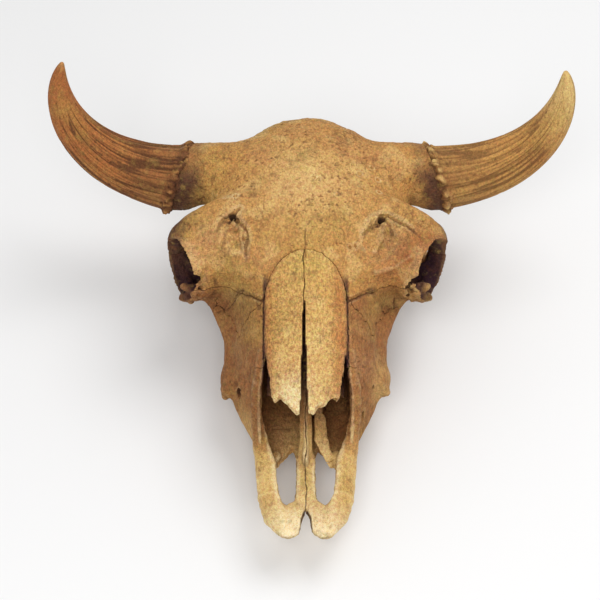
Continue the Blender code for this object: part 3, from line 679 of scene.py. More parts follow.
def add_turbinates(f):
    """Thin scrolls that still stand in the nose, a broad leaf on the left and a low one on the right."""
    slant = (0.1, -0.55, 0.8)
    leaf = [(29.0, 98, 41), (22.5, 109, 49), (17.0, 122, 58), (15.0, 141, 70)]
    f.add(rod(leaf, [4.6, 6.0, 7.8, 7.4], slant, 0.24), 1.2)
    f.add(rod([(14, 150, 74), (15, 168, 56), (15, 182, 42)], [6.0, 5.0, 7.0], slant, 0.4), 2)
    f.add(rod([(0, 44, 39), (0, 72, 42), (0, 102, 46)], [8.0, 9.0, 9.5], (0, 0, 1), 0.45), 3)
    f.add(rod([(0, 105, 50), (0, 114, 66), (0, 132, 84), (0, 152, 100)], [7.5, 7.0, 6.5, 5.5]), 2)
    low_leaf = [(-17, 112, 43), (-15, 132, 50), (-13, 156, 62)]
    f.add(rod(low_leaf, [2.0, 5.5, 6.0], (0.3, -0.55, 0.8), 0.25), 2)
    f.add(rod([(-20, 103, 44), (-22, 130, 50), (-22, 160, 62)], [3.0, 5.0, 6.0], (1, 0, 0), 0.35), 1.5)
    for name, side in SIDES:
        scroll = mirrored(side, (40, 150, 96), (37, 190, 112), (34, 230, 124))
        f.add(rod(scroll, [3, 5, 6], (0.3, 0, 1), 0.4), 3)


def carve_base(f):
    """Holes and roughness of the skull's underside and rear."""
    for name, side in SIDES:
        for low, high, low_radius, high_radius, blend in BASE_HOLES:
            f.cut(rod(mirrored(side, low, high), [low_radius, high_radius]), blend)
        for x, z, size in ((36, 158, (24, 9, 15)), (70, 140, (16, 8, 16))):
            f.cut(ellipsoid((side * x, rear_of(f, side * x, z) + 4, z), size), 6)
        for x, z in ((38, 178), (16, 150), (62, 128), (44, 226), (88, 212)):
            f.cut(ellipsoid((side * x, rear_of(f, side * x, z), z), (1.9, 3.0, 2.4)), 1)
        f.cut(rod(mirrored(side, (78, 470, 126), (88, 466, 112)), [7, 5]), 5)
    f.add(rod([(0, 508, 188), (0, 512, 166), (0, 505, 140)], [5, 6, 4]), 7)


def add_crowns(f):
    """Folds of enamel on the outer sides of the teeth, cups in their worn faces, gaps between them."""
    for x, y, length, breadth in lobe_places():
        for name, side in SIDES:
            for edge, radius in ((-0.46, 1.9), (0.0, 1.5), (0.46, 1.9)):
                place = y + edge * length
                out = side * (x + breadth / 2 - 1.0 - 1.6 * abs(edge))
                f.add(rod([(out, place, TOOTH_ROOT_Z), (out, place, CHEWING_Z + 2)], radius), 1.5)
            level = CHEWING_Z - 0.5
            bend = side * (x + 2) - side * 3.5
            ends = [(side * (x + 2), y + share * length, level) for share in (-0.25, 0.25)]
            f.cut(rod([ends[0], (bend, y, level), ends[1]], 1.7), 1)
    for middle, x, length, breadth in tooth_places():
        for name, side in SIDES:
            edge = side * (x + breadth / 2 + 1.2)
            place = middle - length / 2 - TEETH_APART / 2
            f.cut(rod([(edge, place, TOOTH_ROOT_Z - 2), (edge, place, CHEWING_Z - 2)], 2.8), 1)


def end_pedicles(f):
    """Ends each pedicle in the plane of its burr."""
    for name, side in SIDES:
        ends = sorted([side * 60, side * 190])
        cut, (x, y, z) = f.block([ends[0], 360, 60], [ends[1], 520, 262])
        beyond = side * x * BURR_NORMAL[0] + y * BURR_NORMAL[1] + z * BURR_NORMAL[2]
        beyond = np.where(y > 362, beyond - HORN_BASE @ BURR_NORMAL, -FAR)
        f.value[cut] = np.maximum(f.value[cut], beyond)


def stand_on_floor(f):
    """Cuts the bone at the floor it lies on."""
    x, y, z = np.ix_(*f.axes)
    under = FLOOR - (z * math.cos(PITCH) - y * math.sin(PITCH))
    np.maximum(f.value, under, out=f.value)


def horn_axis(side_name):
    """Points down the middle of a horn core and its direction at each, on the left side."""
    rise_low, rise_high = HORN_RISE[side_name]
    steps = 120
    at = HORN_BASE.copy()
    points = []
    ways = []
    for i in range(steps + 1):
        along = i / steps
        rise = math.radians(rise_low + (rise_high - rise_low) * along ** HORN_BEND[side_name])
        way = np.array([math.cos(rise), HORN_SWEEP * (1 - 0.3 * along), math.sin(rise)])
        way = way / np.linalg.norm(way)
        points.append(at.copy())
        ways.append(way)
        at = at + way * HORN_LENGTH[side_name] / steps
    return np.array(points), np.array(ways)


WIGGLE_SIZE = 48


def soft_wiggle():
    """A block of smooth random numbers from -1 to 1 that repeats on all sides."""
    block = np.random.default_rng(3).random((WIGGLE_SIZE,) * 3).astype(np.float32)
    for repeat in range(2):
        for axis in range(3):
            block = (block + np.roll(block, 1, axis) + np.roll(block, -1, axis)) / 3
    block = block - block.mean()
    return np.clip(block / (2.0 * block.std()), -1, 1)


WIGGLE = soft_wiggle()


def seam_line(y):
    """How far the seam of the snout and the nasal bones strays from the middle, in mm."""
    return 0.8 * np.sin(y / 7.3) + 0.5 * np.sin(y / 3.1 + 1.0)


def outline_distance(outline, y, z):
    """Signed distance to a closed outline of y and z, negative inside."""
    nearest = np.full(np.broadcast(y, z).shape, 1e9, np.float32)
    inside = np.zeros(nearest.shape, bool)
    for (ya, za), (yb, zb) in zip(outline, np.roll(outline, -1, axis=0)):
        ey, ez = yb - ya, zb - za
        t = np.clip(((y - ya) * ey + (z - za) * ez) / (ey * ey + ez * ez), 0, 1)
        nearest = np.minimum(nearest, (y - ya - t * ey) ** 2 + (z - za - t * ez) ** 2)
        if ez != 0:
            inside ^= ((za > z) != (zb > z)) & (y < ya + (z - za) / ez * ey)
    return np.where(inside, -1, 1) * np.sqrt(nearest)


def region_distance(sections, side, x, y, z):
    """Signed distance to a loft sideways through outlines, each at its own x."""
    at = [station for station, outline in sections]
    outlines = np.array([outline for station, outline in sections], float)
    value = np.empty([x.size, y.size, z.size], np.float32)
    for i, here in enumerate(side * x.ravel()):
        inside = float(np.clip(here, at[0], at[-1]))
        k = min(int(np.searchsorted(at, inside, side="right")) - 1, len(at) - 2)
        t = (inside - at[k]) / (at[k + 1] - at[k])
        outline = outlines[k] * (1 - t) + outlines[k + 1] * t
        value[i] = np.maximum(outline_distance(outline, y[0], z[0]), max(at[0] - here, here - at[-1]))
    return value


def take(rest, sections, side=1, wiggle=0.0):
    """Parts what lies inside a region from the rest, and leaves a gap along a wiggly suture."""
    places = np.array([(side * x, y, z) for x, outline in sections for y, z in outline], float)
    inset = REACH - 3 * STEP
    cut, (x, y, z) = rest.block(places.min(0) + inset, places.max(0) - inset)
    inside = region_distance(sections, side, x, y, z)
    if wiggle:
        index = [np.arange(part.start, part.stop) % WIGGLE_SIZE for part in cut]
        inside = inside + wiggle * WIGGLE[np.ix_(*index)]
    piece = Field([axis[part] for axis, part in zip(rest.axes, cut)], np.maximum(rest.value[cut], inside))
    rest.value[cut] = np.maximum(rest.value[cut], GAP - inside)
    return piece


def half_of(whole, side, seam=0.0):
    """The left or right half of a piece, with half a gap up to the seam's plane."""
    x, y, z = np.ix_(*whole.axes)
    middle = seam + 0.8 * seam_line(y)
    return Field(whole.axes, np.maximum(whole.value, GAP / 2 - side * (x - middle)))


def both_ways(half):
    """Sections for x from 0 outward, with their mirror image before them."""
    return [(-x, outline) for x, outline in half[:0:-1]] + half


def box_sections(low, high):
    """Sections of a plain box."""
    outline = [(low[1], low[2]), (high[1], low[2]), (high[1], high[2]), (low[1], high[2])]
    return [(low[0], outline), (high[0], outline)]


def nasal_region():
    """Under one nasal bone, out to its side and its round rear end."""
    front = 85.0
    for turn in np.radians(np.linspace(0, 90, 9)):
        x = NASAL_HALF * math.sin(turn)
        rear = NASAL_ARCH_Y + NASAL_HALF * math.cos(turn)
        drop = 12 + NASAL_BEND * (x / NASAL_HALF) ** 2
        low_front, low_rear = nasal_line(front) - drop, nasal_line(rear) - drop
        yield x, [(front, low_front), (rear, low_rear), (rear, 300), (front, 300)]


def frontal_region():
    """The forehead on one side: where its front edge and its lower edge lie, from the middle outward."""
    fronts = [(0, 229, 167), (50, 236, 167), (70, 256, 167), (88, 266, 167)]
    fronts += [(100, 268, 140), (116, 264, 140), (190, 250, 140)]
    for x, y, low in fronts:
        under = [(y, 150), (342, 150), (362, low), (452, low), (500, 196), (530, 240)]
        yield x, under + [(530, 300), (y, 300)]


def lacrimal_region():
    for x, y in ((48, 232), (80, 222), (150, 240)):
        yield x, [(y, 116), (y, 240), (310, 240), (310, 116)]


def parted(rest):
    """Every bone but the horn cores, by the name of its solid, from the front to the back."""
    pieces = {}

    def pair(name, half, wiggle, seam=0.0):
        whole = take(rest, both_ways(half), 1, wiggle)
        for side_name, side in SIDES:
            pieces[name + "_" + side_name] = half_of(whole, side, seam)

    edge = [(90, 80), (91, 80), (91, 230), (90, 230)]
    wedge = [(90, 80), (236, 150), (236, 230), (90, 230)]
    slit = [(-4.5, edge), (0.0, wedge), (4.5, edge)]
    take(rest, [(NASAL_SEAM_X + x, outline) for x, outline in slit])
    pair("nasal", list(nasal_region()), 0.9, NASAL_SEAM_X)
    snout = [(-20, -20), (101, -20), (101, 48), (120, 62), (140, 84)]
    snout += [(156, 104), (167, 121), (158, 134), (-20, 134)]
    pair("premaxilla", [(0, snout), (80, snout)], 0.9)
    septum = [(101.8, 44), (160, 45), (200, 48), (238, 55), (238, 200), (101.8, 200)]
    pieces["vomer"] = take(rest, [(-9, septum), (9, septum)])
    pieces["frontals"] = take(rest, both_ways(list(frontal_region())), 1, 1.2)
    back = [(450, -20), (450, 70), (462, 110), (472, 150), (478, 240), (560, 240), (560, -20)]
    pieces["occipital"] = take(rest, [(-190, back), (190, back)], 1, 1.2)
    cheek = [(276, 88), (276, 128), (300, 160), (372, 160), (384, 118), (372, 92)]
    for name, side in SIDES:
        pieces["zygomatic_" + name] = take(rest, [(101, cheek), (190, cheek)], side, 2.2)
        pieces["lacrimal_" + name] = take(rest, list(lacrimal_region()), side, 2.8)
    pieces["palatine"] = take(rest, box_sections((-36, 268, 10), (36, 374, 78)), 1, 1.2)
    pair("maxilla", box_sections((0, 90, -20), (140, 300, 240)), 0.8)
    pieces["braincase"] = rest
    return pieces


def largest(count, faces):
    """Which points belong to the largest connected surface."""
    label = np.arange(count)
    ends = np.concatenate([faces, faces[:, :1]], axis=1)
    a = np.concatenate([ends[:, k] for k in range(faces.shape[1])])
    b = np.concatenate([ends[:, k + 1] for k in range(faces.shape[1])])
    while True:
        low = np.minimum(label[a], label[b])
        new = label.copy()
        np.minimum.at(new, a, low)
        np.minimum.at(new, b, low)
        new = new[new]
        if np.array_equal(new, label):
            break
        label = new
    names, sizes = np.unique(label, return_counts=True)
    return label == names[np.argmax(sizes)]


def surface(f):
    """Points in mm and four-sided faces of the field's largest closed surface."""
    grid = openvdb.FloatGrid(3 * STEP)
    grid.copyFromArray(np.ascontiguousarray(np.clip(f.value, -3 * STEP, 3 * STEP)))
    points, triangles, quads = grid.convertToPolygons(isovalue=0.0, adaptivity=0.0)
    quads = quads.astype(np.int64)
    keep = largest(len(points), quads)
    number = np.cumsum(keep) - 1
    quads = number[quads[keep[quads[:, 0]]]]
    return points[keep].astype(np.float64) * STEP + f.low, quads


def resting(points):
    """Places of the bones' own frame in the row frame, in metres, as the skull rests."""
    x, y, z = points[:, 0] - lean(points[:, 1]), points[:, 1], points[:, 2]
    c, s = math.cos(PITCH), math.sin(PITCH)
    return np.stack([x - MIDDLE_X, y * c + z * s - MIDDLE_Y, z * c - y * s - FLOOR], 1) * MM


def finer(points, quads):
    """Splits each face into four."""
    ends = np.concatenate([quads[:, [k, (k + 1) % 4]] for k in range(4)])
    ends.sort(axis=1)
    keys, place = np.unique(ends[:, 0] * len(points) + ends[:, 1], return_inverse=True)
    a, b = keys // len(points), keys % len(points)
    middles = (points[a] + points[b]) / 2
    centres = points[quads].mean(axis=1)
    count = len(quads)
    edge = [len(points) + place[k * count : (k + 1) * count] for k in range(4)]
    centre = len(points) + len(middles) + np.arange(count)
    faces = [np.stack([quads[:, k], edge[k], centre, edge[k - 1]], 1) for k in range(4)]
    return np.concatenate([points, middles, centres]), np.concatenate(faces)


def settle(f, points):
    """Brings points that lie close to the field's surface onto it."""
    way = slope(f, points, 0.7 * STEP)
    off = np.clip(sample(f, points), -0.6, 0.6)
    return points - way * off[:, None]


def line_of(value, width):
    """1 along the thin lines where a noise passes its middle, 0 away from them."""
    return 1 - fade(0, width, np.abs(2 * value - 1))


def folded(p):
    """Points of both sides, brought over to the left side."""
    return np.stack([np.abs(p[:, 0]), p[:, 1], p[:, 2]], 1)


# The middle of the wavy relief over each orbit, as x and y, and of the orbit's chipped rim.
BROWS = ((-84, 300), (88, 300))
RIM = (127, 270, 145)


def lumps(points, size, high, shift=0.0):
    """Noise that stands out and lies back by up to half its height, in mm."""
    return high * (noise(points, size, shift) - 0.5)


def relief(p, hollow, hill):
    """How far the fine shape of old bone stands out, in mm, and where its pores and cracks are."""
    a, b, c = turned(p, 0.7), turned(p, 1.9), turned(p, 2.8)
    height = lumps(a, 27, 0.7) + lumps(b, 12, 0.7) + lumps(c, 5.5, 0.55)
    height += lumps(p * (1, 0.25, 1), 3.2, 0.4, 7.0)
    patches = fade(0.45, 0.7, noise(b, 33, 4.0))
    pores = (0.25 + 0.55 * patches) * fade(0.66, 0.86, noise(a, 3.1, 2.0))
    splits = line_of(noise(p * (1, 0.13, 1), 9, 9.0), 0.07) * fade(0.55, 0.7, noise(c, 30, 1.0))
    height -= pores + 0.55 * splits
    brow = sum(np.exp(-(((p[:, 0] - x) / 24) ** 2) - ((p[:, 1] - y) / 20) ** 2) for x, y in BROWS)
    brow = brow * fade(150, 170, p[:, 2])
    worms = line_of(noise(a, 9.0, 3.5), 0.45) + 0.6 * line_of(noise(b, 5.0, 1.5), 0.4)
    height -= brow * (1.5 * worms - 1.9 * (noise(c, 13, 2.0) - 0.3))
    rim = fade(26, 12, np.linalg.norm(folded(p) - RIM, axis=1))
    height += rim * (lumps(b, 6.5, 1.4, 9.0) + lumps(a, 3.4, 1.3, 6.0))
    coarse = np.maximum(fade(0.25, 0.6, hollow), fade(0.1, 0.25, hill))
    height += coarse * (lumps(a, 7.5, 1.4, 3.0) + lumps(c, 3.6, 0.9, 5.0))
    muscle = fade(455, 485, p[:, 1]) * fade(60, 90, p[:, 2])
    height += muscle * (lumps(p * (1, 1, 0.45), 10, 2.0, 6.0) + lumps(a, 5.0, 1.3, 8.0))
    height += in_orbit(p) * (lumps(b, 12, 2.4, 4.0) + lumps(a, 5.5, 1.4, 1.0))
    teeth = fade(36, 30, p[:, 2]) * fade(140, 150, p[:, 1]) * fade(305, 296, p[:, 1])
    return height * (1 - 0.75 * teeth), np.maximum(np.maximum(0.5 * splits, pores), 0.6 * brow * worms)


def in_nose(p):
    """1 deep in the nose, behind its opening and over its floor, and 0 outside."""
    inside = fade(NASAL_HALF + 3, NASAL_HALF, np.abs(p[:, 0])) * fade(0, 8, nasal_line(p[:, 1]) - 8 - p[:, 2])
    return inside * fade(135, 165, p[:, 1]) * fade(262, 250, p[:, 1]) * fade(45, 65, p[:, 2])


def in_orbit(p):
    """From 0 at each orbit's rim to 1 deep inside it."""
    q = folded(p) - ORBIT
    along = q @ ORBIT_AXIS
    across = np.linalg.norm(q - along[:, None] * ORBIT_AXIS, axis=1)
    return fade(15, 7, along) * fade(ORBIT_RADIUS + 3.2, ORBIT_RADIUS + 1.2, across) * fade(118, 98, -along)


def on_nose_floor(p):
    """1 on the front part of the nose's floor, which the light still reaches, and 0 elsewhere."""
    across = np.abs(p[:, 0])
    front = fade(205, 165, p[:, 1]) * fade(96, 104, p[:, 1]) * fade(NASAL_HALF + 3, NASAL_HALF, across)
    return front * fade(16, 0, p[:, 2] - 50 - 26 * fade(27, 20, across)) * fade(28, 34, p[:, 2])


def close_to(p, paths, reach):
    """1 on any of the paths over the forehead and 0 farther from it than the reach."""
    total = 0
    for path in paths:
        shape = rod([(x, y, 0) for x, y in path], 0.0)
        total = total + fade(reach, 0.3 * reach, shape.distance(p[:, 0], p[:, 1], 0.0))
    return total * fade(145, 155, p[:, 2])


# Colours, as the photograph's light shows them.
COLOURS = {
    "ochre": (216, 172, 110),
    "amber": (188, 138, 76),
    "honey": (204, 162, 94),
    "tan": (176, 130, 74),
    "straw": (220, 184, 118),
    "bleached": (250, 226, 176),
    "olive": (172, 142, 72),
    "rust": (158, 96, 54),
    "rose": (196, 138, 96),
    "sienna": (170, 108, 58),
    "russet": (164, 102, 56),
    "leather": (152, 102, 58),
    "brown": (132, 88, 50),
    "umber": (86, 54, 36),
    # The colour of the painted shadow on the pedicles.
    "shadow_purple": (84, 54, 40),
    "cream": (226, 188, 120),
    # The colour of painted shade in hollows, nose, orbits and on the sides of the face.
    "wine": (46, 22, 34),
    "enamel": (172, 150, 112),
}


def colour(name):
    """A named colour in the linear values that the renderer uses."""
    value = np.array(COLOURS[name]) / 255
    return ((value + 0.055) / 1.055) ** 2.4


class Coat:
    """The colour of each point of a piece: a base, and the stains, painted shade and painted highlights laid
    over it one by one.
    """

    def __init__(self, tint):
        self.tint = tint

    def lay_colour(self, name, weight):
        self.tint = self.tint + (colour(name) - self.tint) * np.clip(weight, 0, 1)[:, None]

    def spots(self, p, stains):
        for middle, reach, name, strength in stains:
            far = np.linalg.norm(p - middle, axis=1) / reach
            self.lay_colour(name, strength * np.exp(-1.4 * far * far))


# Stains on the bone, and a painted highlight on the nasal tips: middle, reach in mm, colour and strength.
STAINS_AND_HIGHLIGHT = [
    ((0, 355, 235), 66, "ochre", 0.9),
    ((-10, 385, 235), 40, "straw", 0.3),
    ((0, 290, 212), 34, "olive", 0.35),
    ((-60, 470, 225), 60, "olive", 0.3),
    ((50, 480, 220), 50, "rust", 0.2),
    ((0, 500, 205), 60, "tan", 0.5),
    ((100, 262, 165), 28, "rust", 0.45),
    ((-128, 290, 178), 30, "rust", 0.3),
    ((-110, 300, 196), 26, "rose", 0.4),
    ((112, 305, 196), 26, "rose", 0.35),
    ((126, 298, 194), 28, "rust", 0.75),
    ((116, 282, 184), 26, "rust", 0.95),
    ((152, 428, 200), 34, "brown", 0.4),
    ((-152, 428, 200), 34, "brown", 0.5),
    ((-60, 235, 130), 50, "leather", 0.5),
    ((95, 225, 110), 50, "leather", 0.5),
    ((-95, 225, 110), 50, "brown", 0.35),
    ((-88, 190, 72), 24, "brown", 0.5),
    ((86, 192, 72), 26, "cream", 0.9),
    ((-62, 126, 74), 24, "cream", 0.55),
    ((-18, 195, 160), 36, "tan", 0.65),
    ((-14, 132, 132), 34, "cream", 0.9),
    # Pale bleached bone at the nasal tips, partly a painted highlight.
    ((-10, 118, 128), 26, "bleached", 0.8),
    ((24, 225, 175), 30, "amber", 0.45),
    ((14, 180, 155), 34, "cream", 0.5),
    ((14, 125, 126), 30, "cream", 0.6),
    ((38, 190, 150), 20, "sienna", 0.6),
    ((0, 262, 190), 26, "olive", 0.4),
    ((-20, 8, 36), 36, "bleached", 1.0),
    ((20, 8, 36), 32, "bleached", 0.9),
    ((0, 70, 44), 26, "bleached", 0.5),
    ((0, 75, 44), 26, "cream", 1.0),
    ((0, 104, 48), 24, "ochre", 0.8),
    ((-44, 72, 46), 36, "cream", 1.0),
    ((44, 80, 46), 30, "cream", 0.6),
    ((54, 108, 66), 30, "rust", 0.3),
    ((-54, 108, 66), 30, "rust", 0.3),
    ((-58, 146, 104), 40, "leather", 1.0),
    ((58, 146, 104), 40, "leather", 1.0),
]

# Stains, and painted shade, that lie over the dirt, the painted shade of the hollows and the wear.
LATE_STAINS_AND_SHADE = [
    ((-14, 138, 40), 30, "cream", 0.9),
    ((-29, 142, 40), 26, "rose", 0.4),
    ((26, 104, 46), 18, "cream", 0.8),
    ((14, 130, 62), 16, "honey", 0.6),
    ((0, 112, 62), 18, "cream", 0.6),
    ((134, 300, 188), 20, "rust", 0.8),
    ((142, 310, 176), 18, "russet", 0.6),
    ((90, 300, 200), 30, "ochre", 0.3),
    ((-100, 300, 198), 34, "ochre", 0.3),
    ((-68, 141, 61), 20, "cream", 0.5),
    ((130, 270, 145), 22, "tan", 0.6),
    ((-130, 270, 145), 22, "leather", 0.75),
    # Painted shade under the ledges of the lower orbit rims.
    ((136, 276, 128), 14, "umber", 0.5),
    ((-138, 274, 130), 16, "umber", 0.75),
    ((82, 176, 72), 18, "cream", 0.5),
    ((92, 188, 84), 13, "leather", 0.6),
    # Painted shade on the sides of the face, strongest on the animal's right.
    ((-80, 252, 140), 40, "wine", 0.16),
    ((-66, 195, 105), 36, "wine", 0.12),
    ((78, 215, 115), 40, "wine", 0.06),
    ((32, 100, 34), 9, "leather", 0.7),
    # Painted shade in the temporal fossae.
    ((80, 396, 138), 32, "umber", 0.92),
    ((-80, 396, 138), 32, "umber", 0.92),
]

# Each kind of bone: its base colour, its finish, how dark the dirt in its sutures is, and whether
# its mesh is made finer.
Kind = namedtuple("Kind", "colour slot dirt fine")
KINDS = {
    "frontals": Kind("amber", "vault_bone", 0.75, True),
    "braincase": Kind("tan", "base_bone", 0.25, False),
    "occipital": Kind("tan", "base_bone", 0.25, False),
    "palatine": Kind("brown", "base_bone", 0.25, False),
    "vomer": Kind("tan", "base_bone", 0.25, False),
    "nasal": Kind("honey", "nasal_bone", 0.85, True),
    "premaxilla": Kind("honey", "snout_bone", 0.05, True),
    "maxilla": Kind("leather", "face_bone", 0.1, True),
    "lacrimal": Kind("leather", "face_bone", 0.6, True),
    "zygomatic": Kind("leather", "face_bone", 0.25, False),
}


def pedicle_painted_shadow(p, grain):
    """Painted shadow of the burr on each pedicle before it: most on its lower side, up to a ragged edge."""
    beyond = -((folded(p) - HORN_BASE) @ BURR_NORMAL)
    up = 0.669 * (p[:, 1] - HORN_BASE[1]) + 0.743 * (p[:, 2] - HORN_BASE[2])
    reach = np.where(p[:, 0] < 0, 44, 34)
    ragged = (beyond + 14 * (noise(grain, 9, 2.0) - 0.5)) / reach
    return 0.95 * (0.35 + 0.65 * fade(20, -8, up)) * fade(1, 0.3, ragged) * fade(108, 130, np.abs(p[:, 0]))


def stain_teeth(coat, p, hollow, hill):
    """Enamel on the crowns, pale on their folds, with dirt between one tooth and the next."""
    teeth = fade(35, 31, p[:, 2]) * fade(143, 150, p[:, 1]) * fade(303, 297, p[:, 1])
    teeth = teeth * fade(30, 36, np.abs(p[:, 0]))
    coat.lay_colour("enamel", 0.8 * teeth * (1 - fade(0.2, 0.6, hollow)))
    coat.lay_colour("cream", 0.5 * teeth * fade(0.08, 0.3, hill))
    ends = np.array([middle - length / 2 for middle, x, length, breadth in tooth_places()])
    coat.lay_colour("umber", 0.6 * teeth * fade(2.4, 0.8, np.abs(p[:, 1:2] - ends).min(axis=1)))


def bone_coat(kind, p, hollow, hill, height, pores):
    """The colour at each point, from where it lies, how deep and how worn it is, with painted shade in its
    hollows, nose, orbits and grooves and a painted highlight on its fine relief.
    """
    coat = Coat(np.tile(colour(KINDS[kind].colour), (len(p), 1)))
    coat.spots(p, STAINS_AND_HIGHLIGHT)
    a, b = turned(p, 0.9), turned(p, 2.3)
    broad, patch, spot = noise(a, 42, 3.0), noise(b, 15, 5.0), noise(a, 6.5, 8.0)
    dark_cheek = kind in ("maxilla", "lacrimal")
    coat.lay_colour("olive", 0.45 * fade(0.55, 0.85, broad))
    coat.lay_colour("rose", 0.2 * fade(0.45, 0.15, broad))
    coat.lay_colour("rust", 0.22 * fade(0.62, 0.85, patch))
    coat.lay_colour("straw", (0.12 if dark_cheek or kind == "zygomatic" else 0.35) * fade(0.4, 0.2, patch))
    coat.lay_colour("umber", 0.2 * fade(0.66, 0.85, spot))
    # Painted shade on the outer edges of the nasal bones, which slope away from the light.
    if kind == "nasal":
        coat.lay_colour("sienna", 0.75 * fade(26, 42, np.abs(p[:, 0] + 3)))
    if kind == "premaxilla":
        coat.lay_colour("leather", 0.75 * fade(92, 122, p[:, 1] + 8 * (broad - 0.5)))
        coat.lay_colour("brown", 0.72 * fade(100, 124, p[:, 1]) * fade(0, -20, p[:, 0]))
    smooth = 0.4 if kind in ("nasal", "premaxilla") else 1.0
    # Painted shade on the low spots of the fine relief and a painted highlight on its high spots.
    coat.lay_colour("umber", 0.32 * smooth * fade(-0.05, -0.75, height))
    coat.lay_colour("cream", 0.22 * fade(0.15, 0.8, height) * (not dark_cheek))
    worn = 0.12 + 0.4 * fade(130, 90, p[:, 1]) + 0.15 * fade(300, 360, p[:, 1])
    coat.lay_colour("bleached", worn * fade(0.06, 0.3, hill))
    # Painted shade, with some dirt, in the hollows; less of it on the front of the nose's floor, where the
    # light still reaches.
    lit = on_nose_floor(p)
    hollow = hollow * (1 - 0.6 * lit)
    coat.lay_colour("umber", 0.75 * fade(0.15, 0.75, hollow))
    coat.lay_colour("wine", 0.85 * fade(0.6, 0.95, hollow))
    # Painted shade deep in the nose, under the nasal bones.
    coat.lay_colour("wine", 0.92 * in_nose(p) * (1 - lit))
    coat.lay_colour("umber", 0.45 * pores * smooth)
    coat.spots(p, LATE_STAINS_AND_SHADE)
    # Painted shade deep in each orbit.
    coat.lay_colour("wine", (0.84 + 0.14 * fade(0.25, 0.6, patch)) * in_orbit(p))
    # Painted shade in the forehead's grooves and holes and in the seams by the tear bones, and a dark line
    # along its middle suture.
    grooved = close_to(p, BROW_GROOVES + BROW_HOLES, 2.3) + close_to(p, [MEDIAN_LINE], 1.4)
    coat.lay_colour("umber", 0.6 * (grooved + close_to(p, TEAR_SEAMS, 2.6)))
    # Painted shadow of each burr on its pedicle.
    coat.lay_colour("shadow_purple", pedicle_painted_shadow(p, b))
    coat.lay_colour("brown", 0.45 * fade(120, 60, p[:, 2]) * fade(110, 150, p[:, 1]))
    stain_teeth(coat, p, hollow, hill)
    return coat


def new_mesh(name, points, quads, tint, hollow, fans=()):
    """A smooth mesh object in the row frame with its colours and hollows as attributes."""
    placed = resting(points)
    placed[:, 2] = np.maximum(placed[:, 2], 0.0)
    fans = np.array(fans, np.int64).reshape(-1, 3)
    corners = np.concatenate([quads.ravel(), fans.ravel()]).astype(np.int32)
    fan_starts = quads.size + np.arange(len(fans)) * 3
    starts = np.concatenate([np.arange(len(quads)) * 4, fan_starts]).astype(np.int32)
    mesh = bpy.data.meshes.new(name)
    mesh.vertices.add(len(points))
    mesh.vertices.foreach_set("co", placed.astype(np.float32).ravel())
    mesh.loops.add(len(corners))
    mesh.loops.foreach_set("vertex_index", corners)
    mesh.polygons.add(len(starts))
    mesh.polygons.foreach_set("loop_start", starts)
    mesh.update(calc_edges=True)
    mesh.validate()
    mesh.shade_smooth()
    opaque = np.concatenate([tint, np.ones((len(tint), 1))], 1).astype(np.float32)
    mesh.attributes.new("tint", "FLOAT_COLOR", "POINT").data.foreach_set("color", opaque.ravel())
    mesh.attributes.new("hollow", "FLOAT", "POINT").data.foreach_set("value", hollow.astype(np.float32))
    return linked(name, mesh)


def linked(name, data):
    """A new object of the scene with this mesh, lamp or camera."""
    obj = bpy.data.objects.new(name, data)
    bpy.context.scene.collection.objects.link(obj)
    return obj


def hollow_at(bone, p, out):
    """How shut in each point is: 0 on open bone and towards 1 deep in a cavity."""
    total = np.zeros(len(p), np.float32)
    for reach, weight in ((4, 0.2), (10, 0.25), (22, 0.3), (45, 0.25)):
        total += weight * (1 - np.clip(sample(bone, p + out * reach) / reach, 0, 1))
    return total


def hill_at(bone, p):
    """How sharply the bone bulges, from 0, per mm."""
    reach = 3.0
    total = -6 * sample(bone, p)
    for shift in shifts(reach):
        total += sample(bone, p + shift) + sample(bone, p - shift)
    return np.clip(total / reach**2, 0, 1)


def bone_piece(name, f, bone):
    """One bone with its fine surface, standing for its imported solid."""
    kind = name.replace("_left", "").replace("_right", "")
    points, faces = surface(f)
    if KINDS[kind].fine:
        points, faces = finer(points, faces)
        points = settle(f, points)
    within = np.abs(sample(bone, points))
    out = slope(bone, points, 1.6)
    hollow = hollow_at(bone, points, out)
    hill = hill_at(bone, points)
    height, pores = relief(points, hollow, hill)
    coat = bone_coat(kind, points, hollow, hill, height, pores)
    seam = 0.6 * (kind == "premaxilla") * fade(4, 2, np.abs(points[:, 0]))
    coat.lay_colour("umber", (KINDS[kind].dirt + seam) * fade(0.15, 0.8, within))
    raised = points + out * (height * (1 - fade(0.3, 0.9, within)))[:, None]
    stand_for(new_mesh(name + "_skin", raised, faces, coat.tint, hollow), name, KINDS[kind].slot)


def stand_for(piece, node, slot):
    """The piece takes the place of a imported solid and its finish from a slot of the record."""
    piece.data.materials.append(MATERIALS[slot])
    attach(piece, "root")
    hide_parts(node)


HORN_RINGS = 230
HORN_SIDES = 340

# Each core's colours at the burr, in the middle and at the tip, then the colour of the burr's
# knobs, and how much the tip is bleached and the grooves and the foot are darkened.
CoreFinish = namedtuple("CoreFinish", "low middle high knobs tip grooves foot")
CORE_FINISH = {
    "left": CoreFinish("tan", "amber", "straw", "straw", 0.9, 0.6, 0.55),
    "right": CoreFinish("leather", "sienna", "russet", "tan", 0.2, 0.85, 0.7),
}


def along_axis(values, place):
    return np.stack([np.interp(place, np.linspace(0, 1, len(values)), values[:, k]) for k in range(3)], -1)


def horn_frame(side_name, place):
    """The axis at places from 0 to 1, its direction there and two directions across it."""
    points, ways = horn_axis(side_name)
    way = along_axis(ways, place)
    way = way / np.linalg.norm(way, axis=-1, keepdims=True)
    across = np.cross(way, [0.0, 1.0, 0.0])
    across = across / np.linalg.norm(across, axis=-1, keepdims=True)
    return along_axis(points, place), way, across, np.cross(way, across)


